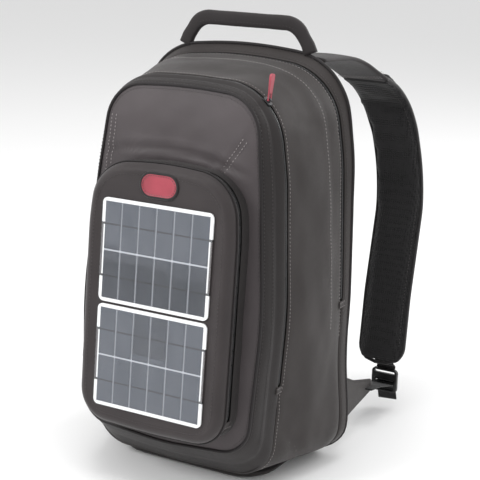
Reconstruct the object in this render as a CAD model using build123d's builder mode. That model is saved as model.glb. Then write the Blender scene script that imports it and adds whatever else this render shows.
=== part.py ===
from build123d import *

import os
from math import cos, radians, sin

# A solar daypack: a bag with a main compartment, a front compartment and a solar pocket.
#
# Millimetres. +Z is up, X is the width, -Y is the solar face and +Y is the wearer's side. The
# origin is on the flat base. Every bag outline is half of a symmetric section: a list of
# (half width, height, corner radius) from the bottom centre, round one side, to the top centre.

# --- driving dimensions: shells ------------------------------------------------------------
WALL = 2.5
THIN_WALL = 1.6
SKIN_GAP = 0.4

FRONT_TILT = 5.0
FRONT_FOOT = -78.7
BAND_TILT = 2.0
BAND_FOOT = -35.5
MAIN_ZIP_Y = 74.0
BACK_Y = 92.0

SEAM_FRONT = [(0, 46, 300), (104, 54, 34), (111, 200, 500), (100, 330, 300), (88, 428, 44), (0, 434, 600)]
SEAM_BAND = [(0, 8, 300), (112, 11, 45), (123, 200, 500), (115, 345, 250), (100, 437, 70), (0, 441, 700)]
SEAM_MAIN = [(0, 2, 900), (129, 3, 42), (139, 195, 600), (133, 350, 270), (118, 445, 73), (0, 457, 500)]
SEAM_BACK = [(0, 1.5, 900), (130, 2.5, 42), (140, 190, 600), (137, 350, 300), (122, 455, 75), (0, 466, 500)]

BASE_HALF_WIDTH = 96
BASE_FRONT = -30
BASE_BACK = 87
BASE_THICKNESS = 2.5
BASE_CORNER = 14

DIVIDER_BEHIND = 8.0
PIPING_WIDTH = 2.6
PIPING_PROUD = 1.8

# --- driving dimensions: zippers -----------------------------------------------------------
CHAIN_GAP = 2.0
CHAIN_WIDTH = 2.5
CHAIN_PROUD = 0.5
FRONT_ZIP_END = 118
MAIN_ZIP_END = 193
POCKET_ZIP_END = 92
POCKET_SLIDER_HEIGHT = 171
MAIN_SLIDER_HEIGHT = 232
SLIDER_LENGTH = 11
SLIDER_WIDTH = 6.8
SLIDER_PLATE = 1.2
SLIDER_CLEARANCE = 0.5
LUG_LENGTH = 4.6
LUG_WIDTH = 2.4
LUG_HEIGHT = 3.6
LUG_HOLE_RADIUS = 0.95
PULL_BAR_RADIUS = 0.7
FRONT_SLIDER_ANGLE = 47
FRONT_PULL_LIFT = 128

# --- driving dimensions: solar pocket ------------------------------------------------------
POCKET = [(0, 62, 600), (90, 65, 36), (90.4, 180, 600), (90, 285, 250), (84, 347, 48), (0, 354, 400)]
POCKET_DEPTH = 35.4
POCKET_FACE = 3.0
POCKET_SPLIT = 18.5
PANEL_WIDTH = 136
PANEL_HEIGHT = 112
PANEL_CORNER = 6
PANEL_FOOT = 84.5
PANEL_PITCH = 115
PANEL_BORDER = 4.0
BOARD_THICKNESS = 1.8
CELL_THICKNESS = 0.4
COVER_THICKNESS = 0.6
CELL_COLUMNS = 6
CELL_ROWS = 2
CELL_GAP = 1.8
BADGE_HEIGHT = 331
BADGE_SIZE = (45, 25)

# --- driving dimensions: back, handle and straps -------------------------------------------
PAD_THICKNESS = 11
PAD_WIDTH = 78
PAD_LENGTH = 270
FRAME_THICKNESS = 1.5
SLEEVE_FRONT = 70

HANDLE_Y = 92.0
HANDLE_PATH = [(-76, 468.5), (-61, 490.5), (61, 490.5), (76, 468.5)]
HANDLE_RADII = [14, 14]
HANDLE_WIDTH = 15
HANDLE_THICKNESS = 8
ANCHOR_TOP = 455

STRAP_WIDTH = 62
STRAP_THICKNESS = 12
YOKE_THICKNESS = 5
YOKE_END = 248
STRAP_SIDE_PATH = [(98, 452), (190, 447), (290, 396), (306, 290), (258, 150), (238, 66)]
STRAP_SIDE_RADII = [150, 58, 150, 200]
STRAP_FRONT_PATH = [(58, 475), (68, 436), (98, 350), (112, 250), (121, 60)]
STRAP_FRONT_RADII = [60, 120, 160]
WEBBING_WIDTH = 25
WEBBING_THICKNESS = 1.6

LOCK_X = 122
LOCK_Y = 252
LOCK_TOP = 54
LOCK_HEIGHT = 30
LOCK_WIDTH = 34
LOCK_THICKNESS = 5
TAIL_LENGTH = 32
TAIL_MIDDLE = 29
WING_X = 124
WING_THICKNESS = 3
WING_OUTLINE = [(92.6, 22), (92.6, 98), (150, 70), (204, 55), (204, 42), (150, 34)]


# --- planes and outlines -------------------------------------------------------------------
def leaning_plane(foot, tilt, offset=0.0):
    """A plane that stands at y = foot on the floor and leans back by tilt degrees.

    Its normal points forwards, so a positive offset is nearer the solar face.
    """
    normal = Vector(0, -cos(radians(tilt)), sin(radians(tilt)))
    return Plane(origin=Vector(0, foot, 0) + normal * offset, x_dir=(1, 0, 0), z_dir=normal)


def front_plane(offset=0.0):
    """The front panel's plane."""
    return leaning_plane(FRONT_FOOT, FRONT_TILT, offset)


def band_plane(offset=0.0):
    """The plane of the front compartment's zipper."""
    return leaning_plane(BAND_FOOT, BAND_TILT, offset)


def main_plane(offset=0.0):
    """The plane of the main compartment's zipper."""
    return leaning_plane(MAIN_ZIP_Y, 0.0, offset)


def back_plane(offset=0.0):
    """The rear face of the bag's back wall."""
    return leaning_plane(BACK_Y, 0.0, offset)


def grown(outline, amount):
    """The outline moved outwards by amount, or inwards where it is negative."""
    hem = outline[1][1]
    moved = []
    for x, z, radius in outline:
        side = amount if x else 0
        lift = amount if z > outline[3][1] else -amount if z <= hem else 0
        moved.append((x + side, z + lift, radius + amount))
    return moved


def section(plane, outline):
    """The closed face of an outline on a plane."""
    left = [(-x, z, radius) for x, z, radius in reversed(outline[1:-1])]
    corners = outline + left
    with BuildSketch(plane) as face:
        with BuildLine():
            points = [(x, z) for x, z, _ in corners]
            radii = [radius for _, _, radius in corners]
            FilletPolyline(*points, radius=radii, close=True)
        make_face()
    return face.sketch.face()


def corner_arc(outline, index):
    """Centre and radius of the arc that rounds one corner of the outline."""
    before, corner, after = (Vector(*outline[i][:2]) for i in (index - 1, index, index + 1))
    first = (before - corner).normalized()
    second = (after - corner).normalized()
    half_angle = radians(first.get_angle(second) / 2)
    radius = outline[index][2]
    return corner + (first + second).normalized() * (radius / sin(half_angle)), radius


# --- shapes that repeat --------------------------------------------------------------------
def block(plane, outline, low, high):
    """The outline made solid between two offsets of the plane."""
    with BuildPart() as made:
        extrude(section(plane(low), outline), amount=high - low)
    return made.part


def ring(plane, outline, low, high, outer, inner):
    """A ring that follows the outline, between two offsets of the plane."""
    with BuildPart() as made:
        extrude(section(plane(low), grown(outline, outer)), amount=high - low)
        extrude(section(plane(low), grown(outline, inner)), amount=high - low, mode=Mode.SUBTRACT)
    return made.part


def loft_between(start, first, end, second):
    """The solid between an outline on one plane and an outline on another."""
    with BuildPart() as made:
        loft([section(start, first), section(end, second)])
    return made.part


def above(plane, low, high, height):
    """A wide box between two offsets of the plane, above a height."""
    with BuildPart() as made:
        with BuildSketch(plane(low)):
            with Locations((0, height + 300)):
                Rectangle(600, 600)
        extrude(amount=high - low)
    return made.part


def zip_half(plane, outline, side, height):
    """One half of a zipper chain, above a height; side is 1 in front of the gap and -1 behind."""
    near = side * CHAIN_GAP / 2
    far = side * (CHAIN_GAP / 2 + CHAIN_WIDTH)
    low, high = min(near, far), max(near, far)
    with BuildPart() as made:
        add(ring(plane, outline, low, high, CHAIN_PROUD, -WALL))
        add(above(plane, low - 1, high + 1, height), mode=Mode.INTERSECT)
    return made.part


def zip_seat(plane, side, height):
    """The room that one half of a zipper chain takes out of its shell's edge."""
    near = side * (CHAIN_GAP / 2 - 1)
    far = side * (CHAIN_GAP / 2 + CHAIN_WIDTH)
    return above(plane, min(near, far), max(near, far), height)


def rounded_slab(plane, centre, size, corner, thickness):
    """A plate with rounded corners, standing on a plane."""
    with BuildPart() as made:
        with BuildSketch(plane):
            with Locations(centre):
                RectangleRounded(*size, corner)
        extrude(amount=thickness)
    return made.part


def open_pocket(plane, x, height, depth, low, wall):
    """A flat pocket, open at its top and against the wall behind it.

    x and height are (low, high) pairs, low is the offset of the wall, and depth is the pocket's.
    """
    centre = ((x[0] + x[1]) / 2, (height[0] + height[1]) / 2)
    width, tall = x[1] - x[0], height[1] - height[0]
    with BuildPart() as made:
        with BuildSketch(plane(low)):
            with Locations(centre):
                RectangleRounded(width, tall, 6)
        extrude(amount=depth)
        with BuildSketch(plane(low)):
            with Locations((centre[0], centre[1] + wall)):
                RectangleRounded(width - 2 * wall, tall, 5)
        extrude(amount=depth - wall, mode=Mode.SUBTRACT)
    return made.part


def keep(part, label):
    """Names a finished piece and writes it."""
    part.label = label
    export_step(part, f"parts/{label}.step")


os.makedirs("parts", exist_ok=True)
FRONT, REAR = 1, -1
RIGHT, LEFT = 1, -1
SIDE_NAMES = {RIGHT: "right", LEFT: "left"}
HALF_GAP = CHAIN_GAP / 2

# --- the body that stands: base, rear shell and back ---------------------------------------
with BuildPart() as base_panel:
    with BuildSketch():
        with Locations((0, (BASE_FRONT + BASE_BACK) / 2)):
            RectangleRounded(2 * BASE_HALF_WIDTH, BASE_BACK - BASE_FRONT, BASE_CORNER)
    extrude(amount=BASE_THICKNESS)
keep(base_panel.part, "base_panel")

with BuildPart() as floor_slot:
    with BuildSketch(Plane.XY.offset(-5)):
        with Locations((0, (BASE_FRONT + BASE_BACK) / 2)):
            Rectangle(2 * BASE_HALF_WIDTH + 3, BASE_BACK - BASE_FRONT + 6)
    extrude(amount=17)

with BuildPart() as back_shell:
    add(loft_between(back_plane(), SEAM_BACK, main_plane(-HALF_GAP), SEAM_MAIN))
    inner_back = grown(SEAM_BACK, -WALL)
    inner_main = grown(SEAM_MAIN, -WALL)
    add(loft_between(back_plane(WALL), inner_back, main_plane(-HALF_GAP), inner_main), mode=Mode.SUBTRACT)
    add(zip_seat(main_plane, REAR, MAIN_ZIP_END), mode=Mode.SUBTRACT)
    add(floor_slot.part, mode=Mode.SUBTRACT)
keep(back_shell.part, "back_shell")

with BuildPart() as back_piping:
    add(ring(back_plane, SEAM_BACK, 0.2, PIPING_WIDTH, PIPING_PROUD, SKIN_GAP))
    add(above(back_plane, 0, PIPING_WIDTH + 1, 30), mode=Mode.INTERSECT)
keep(back_piping.part, "back_piping")

keep(zip_half(main_plane, SEAM_MAIN, REAR, MAIN_ZIP_END), "main_zip_rear")

sheet_offset = WALL + 0.4
with BuildPart() as frame_sheet:
    with BuildSketch(back_plane(sheet_offset)):
        with Locations((0, 232)):
            RectangleRounded(208, 372, 40)
    extrude(amount=FRAME_THICKNESS)
keep(frame_sheet.part, "frame_sheet")

sleeve_offset = sheet_offset + FRAME_THICKNESS + 0.4
sleeve_depth = BACK_Y - SLEEVE_FRONT - sleeve_offset
sleeve_walls = open_pocket(back_plane, (-115, 115), (45, 320), sleeve_depth, sleeve_offset, THIN_WALL)
keep(sleeve_walls, "laptop_sleeve")


def back_pad(centre, size, corner):
    """A foam pad on the rear face of the back wall."""
    with BuildPart() as made:
        with BuildSketch(Plane(origin=(0, BACK_Y + SKIN_GAP, 0), x_dir=(-1, 0, 0), z_dir=(0, 1, 0))):
            with Locations(centre):
                RectangleRounded(*size, corner)
        extrude(amount=PAD_THICKNESS)
        fillet(made.faces().sort_by(Axis.Y)[-1].edges(), 5)
    return made.part


for side, name in SIDE_NAMES.items():
    keep(back_pad((-side * 49, 278), (PAD_WIDTH, PAD_LENGTH), 26), f"back_pad_{name}")
keep(back_pad((0, 85), (196, 84), 30), "lumbar_pad")

with BuildPart() as handle_anchors:
    with BuildSketch(Plane(origin=(0, BACK_Y + SKIN_GAP, 0), x_dir=(-1, 0, 0), z_dir=(0, 1, 0))):
        with Locations((-76, ANCHOR_TOP - 5), (76, ANCHOR_TOP - 5)):
            RectangleRounded(18, 10, 3)
    extrude(amount=2)
keep(handle_anchors.part, "handle_anchors")

with BuildPart() as yoke_anchors:
    with BuildSketch(Plane(origin=(0, BACK_Y + SKIN_GAP, 0), x_dir=(-1, 0, 0), z_dir=(0, 1, 0))):
        with Locations((-66, 436), (66, 436)):
            RectangleRounded(STRAP_WIDTH, 14, 4)
    extrude(amount=2.4)
keep(yoke_anchors.part, "yoke_anchors")

# --- main cover: everything between the main zipper and the front zipper -------------------
with BuildPart() as main_gusset:
    add(loft_between(band_plane(-HALF_GAP), SEAM_BAND, main_plane(HALF_GAP), SEAM_MAIN))
    inner_band = grown(SEAM_BAND, -WALL)
    add(loft_between(band_plane(-HALF_GAP), inner_band, main_plane(HALF_GAP), inner_main), mode=Mode.SUBTRACT)
    add(zip_seat(main_plane, FRONT, MAIN_ZIP_END), mode=Mode.SUBTRACT)
    add(zip_seat(band_plane, REAR, FRONT_ZIP_END), mode=Mode.SUBTRACT)
    add(floor_slot.part, mode=Mode.SUBTRACT)
keep(main_gusset.part, "main_gusset")

keep(zip_half(main_plane, SEAM_MAIN, FRONT, MAIN_ZIP_END), "main_zip_front")
keep(zip_half(band_plane, SEAM_BAND, REAR, FRONT_ZIP_END), "front_zip_rear")

divider_outline = grown(SEAM_BAND, -WALL - SKIN_GAP)
keep(block(band_plane, divider_outline, -DIVIDER_BEHIND, -DIVIDER_BEHIND + THIN_WALL), "divider_panel")

pocket_wall = -DIVIDER_BEHIND + THIN_WALL + 0.2
keep(open_pocket(band_plane, (8, 88), (110, 260), 8.5, pocket_wall, 1.2), "organizer_pocket")
keep(open_pocket(band_plane, (-84, -6), (150, 290), 17, pocket_wall, 1.2), "battery_pouch")
battery_plane = band_plane(pocket_wall + 1.0)
keep(rounded_slab(battery_plane, (-45, 210), (66, 108), 8, 13), "battery_pack")

# --- front cover: the front panel and the rear half of the solar pocket --------------------
with BuildPart() as front_panel:
    add(loft_between(front_plane(), SEAM_FRONT, band_plane(HALF_GAP), SEAM_BAND))
    inner_front = grown(SEAM_FRONT, -WALL)
    add(loft_between(front_plane(-WALL), inner_front, band_plane(HALF_GAP), inner_band), mode=Mode.SUBTRACT)
    add(zip_seat(band_plane, FRONT, FRONT_ZIP_END), mode=Mode.SUBTRACT)
keep(front_panel.part, "front_panel")

keep(ring(front_plane, SEAM_FRONT, -1.0, 1.6, PIPING_PROUD, 2 * SKIN_GAP), "front_piping")
keep(zip_half(band_plane, SEAM_BAND, FRONT, FRONT_ZIP_END), "front_zip_front")


def pocket_plane(offset=0.0):
    """The plane of the solar pocket's zipper."""
    return front_plane(POCKET_SPLIT + offset)


with BuildPart() as pocket_rear_gusset:
    add(ring(front_plane, POCKET, 0.2, POCKET_SPLIT - HALF_GAP, 0, -WALL))
    add(zip_seat(pocket_plane, REAR, POCKET_ZIP_END), mode=Mode.SUBTRACT)
keep(pocket_rear_gusset.part, "pocket_rear_gusset")
keep(zip_half(pocket_plane, POCKET, REAR, POCKET_ZIP_END), "pocket_zip_rear")

# --- solar flap ----------------------------------------------------------------------------
face_back = POCKET_DEPTH - POCKET_FACE
with BuildPart() as pocket_front_gusset:
    add(ring(front_plane, POCKET, POCKET_SPLIT + HALF_GAP, face_back, 0, -WALL))
    add(zip_seat(pocket_plane, FRONT, POCKET_ZIP_END), mode=Mode.SUBTRACT)
keep(pocket_front_gusset.part, "pocket_front_gusset")
keep(zip_half(pocket_plane, POCKET, FRONT, POCKET_ZIP_END), "pocket_zip_front")
keep(block(front_plane, POCKET, face_back, POCKET_DEPTH), "pocket_face")
keep(ring(front_plane, POCKET, POCKET_DEPTH - 1.8, POCKET_DEPTH + 0.8, PIPING_PROUD, 0.1), "pocket_piping")

cell_width = (PANEL_WIDTH - 2 * PANEL_BORDER - (CELL_COLUMNS - 1) * CELL_GAP) / CELL_COLUMNS
cell_height = (PANEL_HEIGHT - 2 * PANEL_BORDER - (CELL_ROWS - 1) * CELL_GAP) / CELL_ROWS
board_low = POCKET_DEPTH + 0.1
cell_low = board_low + BOARD_THICKNESS
cover_low = cell_low + CELL_THICKNESS
for level, name in enumerate(("lower", "upper")):
    middle = (0, PANEL_FOOT + PANEL_HEIGHT / 2 + level * PANEL_PITCH)
    panel_size = (PANEL_WIDTH, PANEL_HEIGHT)
    board = rounded_slab(front_plane(board_low), middle, panel_size, PANEL_CORNER, BOARD_THICKNESS)
    keep(board, f"{name}_board")
    with BuildPart() as cells:
        with BuildSketch(front_plane(cell_low)):
            with Locations(middle):
                with GridLocations(cell_width + CELL_GAP, cell_height + CELL_GAP, CELL_COLUMNS, CELL_ROWS):
                    Rectangle(cell_width, cell_height)
        extrude(amount=CELL_THICKNESS)
    keep(cells.part, f"{name}_cells")
    cover = rounded_slab(front_plane(cover_low), middle, panel_size, PANEL_CORNER, COVER_THICKNESS)
    keep(cover, f"{name}_cover")

with BuildPart() as junction_boxes:
    with BuildSketch(front_plane(face_back - 11)):
        with Locations(*[(-52, PANEL_FOOT + PANEL_HEIGHT / 2 + level * PANEL_PITCH) for level in (0, 1)]):
            RectangleRounded(36, 28, 4)
    extrude(amount=10.6)
keep(junction_boxes.part, "junction_boxes")

with BuildPart() as panel_jack:
    jack_plane = Plane(origin=front_plane(face_back - 6).from_local_coords((-33.8, 140.5, 0)), z_dir=(1, 0, 0))
    with BuildSketch(jack_plane):
        Circle(3.6)
        Circle(1.3, mode=Mode.SUBTRACT)
    extrude(amount=9)
keep(panel_jack.part, "panel_jack")

with BuildPart() as badge:
    with BuildSketch(front_plane(board_low)):
        with Locations((0, BADGE_HEIGHT)):
            Ellipse(BADGE_SIZE[0] / 2, BADGE_SIZE[1] / 2)
    extrude(amount=2.4)
    fillet(badge.faces().sort_by(Axis((0, 0, 0), front_plane().z_dir))[-1].edges(), 1.0)
keep(badge.part, "badge")

# --- carrying handle -----------------------------------------------------------------------
with BuildPart() as handle_grip:
    with BuildSketch(Plane.XZ.offset(-HANDLE_Y - HANDLE_THICKNESS / 2)):
        with BuildLine():
            FilletPolyline(*HANDLE_PATH, radius=HANDLE_RADII)
        trace(line_width=HANDLE_WIDTH)
    extrude(amount=HANDLE_THICKNESS)
keep(handle_grip.part, "handle_grip")


# --- shoulder straps -----------------------------------------------------------------------
def strap_band(side, thickness, width, tip=0.0):
    """A band along the strap's route: its side view and its front view made solid and crossed."""
    with BuildPart() as made:
        with BuildSketch(Plane.YZ):
            with BuildLine():
                FilletPolyline(*STRAP_SIDE_PATH, radius=STRAP_SIDE_RADII)
            trace(line_width=thickness)
        extrude(amount=side * 200)
        with BuildSketch(Plane.XZ) as front_view:
            with BuildLine():
                FilletPolyline(*[(side * x, z) for x, z in STRAP_FRONT_PATH], radius=STRAP_FRONT_RADII)
            trace(line_width=width)
            if tip:
                fillet(front_view.vertices().sort_by(Axis.Y)[:2], tip)
        extrude(front_view.sketch, amount=-400, mode=Mode.INTERSECT)
    return made.part


def yoke_zone(gap):
    """The room in which the strap is bag fabric rather than a padded band."""
    with BuildPart() as made:
        with BuildSketch(Plane.XY.offset(380)):
            with Locations((0, 90 + (YOKE_END + gap - 90) / 2)):
                Rectangle(600, YOKE_END + gap - 90)
        extrude(amount=140)
    return made.part


run_start, run_end = (Vector(0, *point) for point in STRAP_SIDE_PATH[-2:])
run_along = (run_start - run_end).normalized()
run_out = run_along.cross(Vector(1, 0, 0)).normalized()
run_face = run_end + run_out * (STRAP_THICKNESS / 2 + SKIN_GAP)
for side, name in SIDE_NAMES.items():
    with BuildPart() as yoke:
        add(strap_band(side, YOKE_THICKNESS, STRAP_WIDTH))
        add(yoke_zone(0), mode=Mode.INTERSECT)
    keep(yoke.part, f"yoke_{name}")

    with BuildPart() as strap_pad:
        add(strap_band(side, STRAP_THICKNESS, STRAP_WIDTH, 22))
        add(yoke_zone(SKIN_GAP), mode=Mode.SUBTRACT)
    keep(strap_pad.part, f"strap_pad_{name}")

    run_plane = Plane(origin=run_face + Vector(side * LOCK_X, 0, 0), x_dir=(1, 0, 0), z_dir=run_out)
    with BuildPart() as pad_webbing:
        with BuildSketch(run_plane):
            with Locations((0, -30)):
                Rectangle(WEBBING_WIDTH, 76)
        extrude(amount=WEBBING_THICKNESS)
    keep(pad_webbing.part, f"pad_webbing_{name}")

    lock_middle = LOCK_TOP - LOCK_HEIGHT / 2
    with BuildPart() as ladder_lock:
        with BuildSketch(Plane.XZ.offset(-LOCK_Y - LOCK_THICKNESS / 2)):
            with Locations((side * LOCK_X, lock_middle)):
                RectangleRounded(LOCK_WIDTH, LOCK_HEIGHT, 5)
                with Locations((0, 11), (0, 0), (0, -10.5)):
                    SlotOverall(WEBBING_WIDTH + 2, 4.2, mode=Mode.SUBTRACT)
        extrude(amount=LOCK_THICKNESS)
        fillet(ladder_lock.edges().filter_by(GeomType.LINE).filter_by(Axis.X), 0.8)
    keep(ladder_lock.part, f"ladder_lock_{name}")

    with BuildPart() as webbing_tail:
        with BuildSketch(Plane.XZ.offset(-LOCK_Y - LOCK_THICKNESS / 2 - SKIN_GAP - WEBBING_THICKNESS)):
            with Locations((side * LOCK_X, TAIL_MIDDLE)):
                Rectangle(WEBBING_WIDTH, TAIL_LENGTH)
        extrude(amount=WEBBING_THICKNESS)
    keep(webbing_tail.part, f"webbing_tail_{name}")

    with BuildPart() as wing:
        with BuildSketch(Plane.YZ.offset(side * WING_X - WING_THICKNESS / 2)):
            with BuildLine():
                Polyline(*WING_OUTLINE, close=True)
            make_face()
        extrude(amount=WING_THICKNESS)
    keep(wing.part, f"wing_{name}")

    web_start = Vector(side * LOCK_X, WING_OUTLINE[3][0] + SKIN_GAP, 47)
    web_end = Vector(side * LOCK_X, LOCK_Y - LOCK_THICKNESS / 2 - SKIN_GAP, lock_middle)
    web_along = web_end - web_start
    web_plane = Plane(origin=(web_start + web_end) / 2, x_dir=(1, 0, 0), z_dir=Vector(1, 0, 0).cross(web_along))
    with BuildPart() as lower_webbing:
        with BuildSketch(web_plane.offset(-WEBBING_THICKNESS / 2)):
            Rectangle(WEBBING_WIDTH, web_along.length - 2)
        extrude(amount=WEBBING_THICKNESS)
    keep(lower_webbing.part, f"lower_webbing_{name}")


# --- zipper sliders and their pulls --------------------------------------------------------
plate_low = CHAIN_PROUD + SLIDER_CLEARANCE
plate_high = plate_low + SLIDER_PLATE
lug_high = plate_high + LUG_HEIGHT
bar_height = lug_high - 1.9


def zip_slider(place):
    """A slider that clasps both halves of a chain; place has X along the chain and Z outwards."""
    inner_high = -WALL - SLIDER_CLEARANCE
    inner_low = inner_high - SLIDER_PLATE
    with BuildPart() as made:
        with BuildSketch(place.offset(plate_low)):
            RectangleRounded(SLIDER_LENGTH, SLIDER_WIDTH, 2.5)
        extrude(amount=SLIDER_PLATE)
        with BuildSketch(place.offset(inner_low)):
            RectangleRounded(SLIDER_LENGTH, SLIDER_WIDTH, 2.5)
        extrude(amount=SLIDER_PLATE)
        with BuildSketch(place.offset(inner_high - 0.5)):
            Rectangle(4, 1.0)
        extrude(amount=plate_low - inner_high + 1.0)
        with BuildSketch(place.offset(plate_high - 0.5)):
            Rectangle(LUG_LENGTH, LUG_WIDTH)
        extrude(amount=lug_high - plate_high + 0.5)
        with BuildSketch(Plane(origin=place.from_local_coords((0, 0, bar_height)), z_dir=place.y_dir)):
            Circle(LUG_HOLE_RADIUS)
        extrude(amount=SLIDER_WIDTH, both=True, mode=Mode.SUBTRACT)
    return made.part


def zip_pull(place, length, width):
    """A pull on a wire bail; place has its origin on the bail's bar and X along the pull."""
    with BuildPart() as made:
        with BuildSketch(Plane(origin=place.origin, z_dir=place.y_dir)):
            Circle(PULL_BAR_RADIUS)
        extrude(amount=3.5, both=True)
        with BuildSketch(place.offset(-PULL_BAR_RADIUS)):
            with Locations((3.6, 2.9), (3.6, -2.9)):
                Rectangle(8.6, 1.2)
            with Locations((7.6, 0)):
                Rectangle(1.6, 7.0)
        extrude(amount=2 * PULL_BAR_RADIUS)
        with BuildSketch(place.offset(-1.1)):
            with BuildLine():
                FilletPolyline(
                    (6.8, -width * 0.32),
                    (length - 6, -width / 2),
                    (length, -width / 2),
                    (length, width / 2),
                    (length - 6, width / 2),
                    (6.8, width * 0.32),
                    radius=[1.2, 6, 2.4, 2.4, 6, 1.2],
                    close=True,
                )
            make_face()
        extrude(amount=2.2)
    return made.part


def slider_place(plane, point, along, outward):
    """Slider frame at a point of an outline, with X along the chain there and Z out of the bag."""
    origin = plane.from_local_coords((*point, 0))
    run = plane.from_local_coords((point[0] + along[0], point[1] + along[1], 0)) - origin
    out = plane.from_local_coords((point[0] + outward[0], point[1] + outward[1], 0)) - origin
    return Plane(origin=origin, x_dir=run, z_dir=out)


def pull_place(place, angle):
    """Bail frame on a slider, with the pull raised by an angle from the slider's own X."""
    bar = place.from_local_coords((0, 0, bar_height))
    lean = place.x_dir * cos(radians(angle)) + place.z_dir * sin(radians(angle))
    return Plane(origin=bar, x_dir=lean, z_dir=lean.cross(place.y_dir))


pocket_place = slider_place(pocket_plane(), (-POCKET[2][0], POCKET_SLIDER_HEIGHT), (0, -1), (-1, 0))
keep(zip_slider(pocket_place), "pocket_slider")
keep(zip_pull(pull_place(pocket_place, 0), 44, 8), "pocket_pull")

side_low, side_high = (Vector(-x, z) for x, z, _ in SEAM_MAIN[2:4])
side_share = (MAIN_SLIDER_HEIGHT - side_low.Y) / (side_high.Y - side_low.Y)
main_point = side_low + (side_high - side_low) * side_share
main_down = (side_low - side_high).normalized()
main_out = (main_down.Y, -main_down.X)
main_place = slider_place(main_plane(), (main_point.X, main_point.Y), (main_down.X, main_down.Y), main_out)
keep(zip_slider(main_place), "main_slider")
keep(zip_pull(pull_place(main_place, 0), 30, 7), "main_pull")

arc_centre, arc_radius = corner_arc(SEAM_BAND, 4)
spoke = Vector(cos(radians(FRONT_SLIDER_ANGLE)), sin(radians(FRONT_SLIDER_ANGLE)))
front_point = arc_centre + spoke * arc_radius
front_along = (spoke.Y, -spoke.X)
front_place = slider_place(band_plane(), (front_point.X, front_point.Y), front_along, (spoke.X, spoke.Y))
keep(zip_slider(front_place), "front_slider")
keep(zip_pull(pull_place(front_place, FRONT_PULL_LIFT), 27, 8), "front_pull")
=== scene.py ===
import math

import bmesh
import bpy
import numpy as np
from mathutils import Matrix, Vector, noise


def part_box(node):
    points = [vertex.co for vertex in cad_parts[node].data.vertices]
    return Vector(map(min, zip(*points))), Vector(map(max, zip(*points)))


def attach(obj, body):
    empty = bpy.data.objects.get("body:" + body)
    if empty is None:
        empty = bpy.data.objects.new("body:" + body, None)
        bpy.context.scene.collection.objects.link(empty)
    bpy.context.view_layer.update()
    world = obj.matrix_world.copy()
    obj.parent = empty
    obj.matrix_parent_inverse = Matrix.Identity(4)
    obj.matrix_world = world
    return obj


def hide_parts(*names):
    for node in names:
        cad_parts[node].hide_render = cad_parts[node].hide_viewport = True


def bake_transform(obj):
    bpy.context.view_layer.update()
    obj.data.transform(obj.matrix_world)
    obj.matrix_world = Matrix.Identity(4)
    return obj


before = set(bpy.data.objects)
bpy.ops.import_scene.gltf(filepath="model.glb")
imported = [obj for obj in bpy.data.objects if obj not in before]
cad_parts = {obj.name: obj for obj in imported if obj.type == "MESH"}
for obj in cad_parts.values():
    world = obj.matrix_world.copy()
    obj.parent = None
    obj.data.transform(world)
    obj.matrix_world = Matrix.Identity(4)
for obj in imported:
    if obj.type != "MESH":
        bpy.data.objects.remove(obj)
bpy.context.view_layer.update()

# The looks of a solar daypack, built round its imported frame. Shapes are worked out in
# millimetres in the frame's own axes, and to_object() turns them into metres.
MM = 0.001
SIDES = {1: "right", -1: "left"}

# --- camera --------------------------------------------------------------------------------
CAMERA_PLACE = (0.72027, -1.20202, 0.62725)
AZIMUTH, ELEVATION, ROLL = (math.radians(angle) for angle in (29.185, 14.769, 1.5))
camera_data = bpy.data.cameras.new("camera")
camera_data.lens = 98.81
camera_data.sensor_width = 36
camera = bpy.data.objects.new("camera", camera_data)
bpy.context.scene.collection.objects.link(camera)
flat_reach = math.cos(ELEVATION)
backward = Vector((math.sin(AZIMUTH) * flat_reach, -math.cos(AZIMUTH) * flat_reach, math.sin(ELEVATION)))
level = Vector((math.cos(AZIMUTH), math.sin(AZIMUTH), 0))
upward = backward.cross(level)
rolled_right = level * math.cos(ROLL) + upward * math.sin(ROLL)
rolled_up = upward * math.cos(ROLL) - level * math.sin(ROLL)
turned = Matrix((rolled_right, rolled_up, backward)).transposed().to_4x4()
camera.matrix_world = Matrix.Translation(CAMERA_PLACE) @ turned
bpy.context.scene.camera = camera

# --- the bag's outlines: (half width, height, corner radius), as in the frame ----------------
SEAM_FRONT = [(0, 46, 300), (104, 54, 34), (111, 200, 500), (100, 330, 300), (88, 428, 44), (0, 434, 600)]
SEAM_BAND = [(0, 8, 300), (112, 11, 45), (123, 200, 500), (115, 345, 250), (100, 437, 70), (0, 441, 700)]
SEAM_MAIN = [(0, 2, 900), (129, 3, 42), (139, 195, 600), (133, 350, 270), (118, 445, 73), (0, 457, 500)]
SEAM_BACK = [(0, 1.5, 900), (130, 2.5, 42), (140, 190, 600), (137, 350, 300), (122, 455, 75), (0, 466, 500)]
POCKET = [(0, 62, 600), (90, 65, 36), (90.4, 180, 600), (90, 285, 250), (84, 347, 48), (0, 354, 400)]
SECTION_COUNTS = (16, 26, 20, 14, 16)
FRONT = (-78.7, 5.0)
BAND = (-35.5, 2.0)
MAIN = (74.0, 0.0)
BACK = (92.0, 0.0)
POCKET_DEPTH = 35.4
POCKET_SPLIT = 18.5
FRONT_ZIP_END, MAIN_ZIP_END, POCKET_ZIP_END = 118, 193, 92
TAPE_GAP = 3.2
PANEL_FOOT, PANEL_PITCH, PANEL_SIZE = 84.5, 115, (136, 112)


def unit(vector):
    return vector / np.linalg.norm(vector)


def on_plane(plane, flat, offset=0.0):
    """Places (x, height) points on a leaning plane, offset towards the solar face."""
    foot, tilt = plane[0], math.radians(plane[1])
    flat = np.asarray(flat, float)
    x, height = flat[..., 0], flat[..., 1]
    y = foot + height * math.sin(tilt) - offset * math.cos(tilt)
    z = height * math.cos(tilt) + offset * math.sin(tilt)
    return np.stack([x, y, z], -1)


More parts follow.
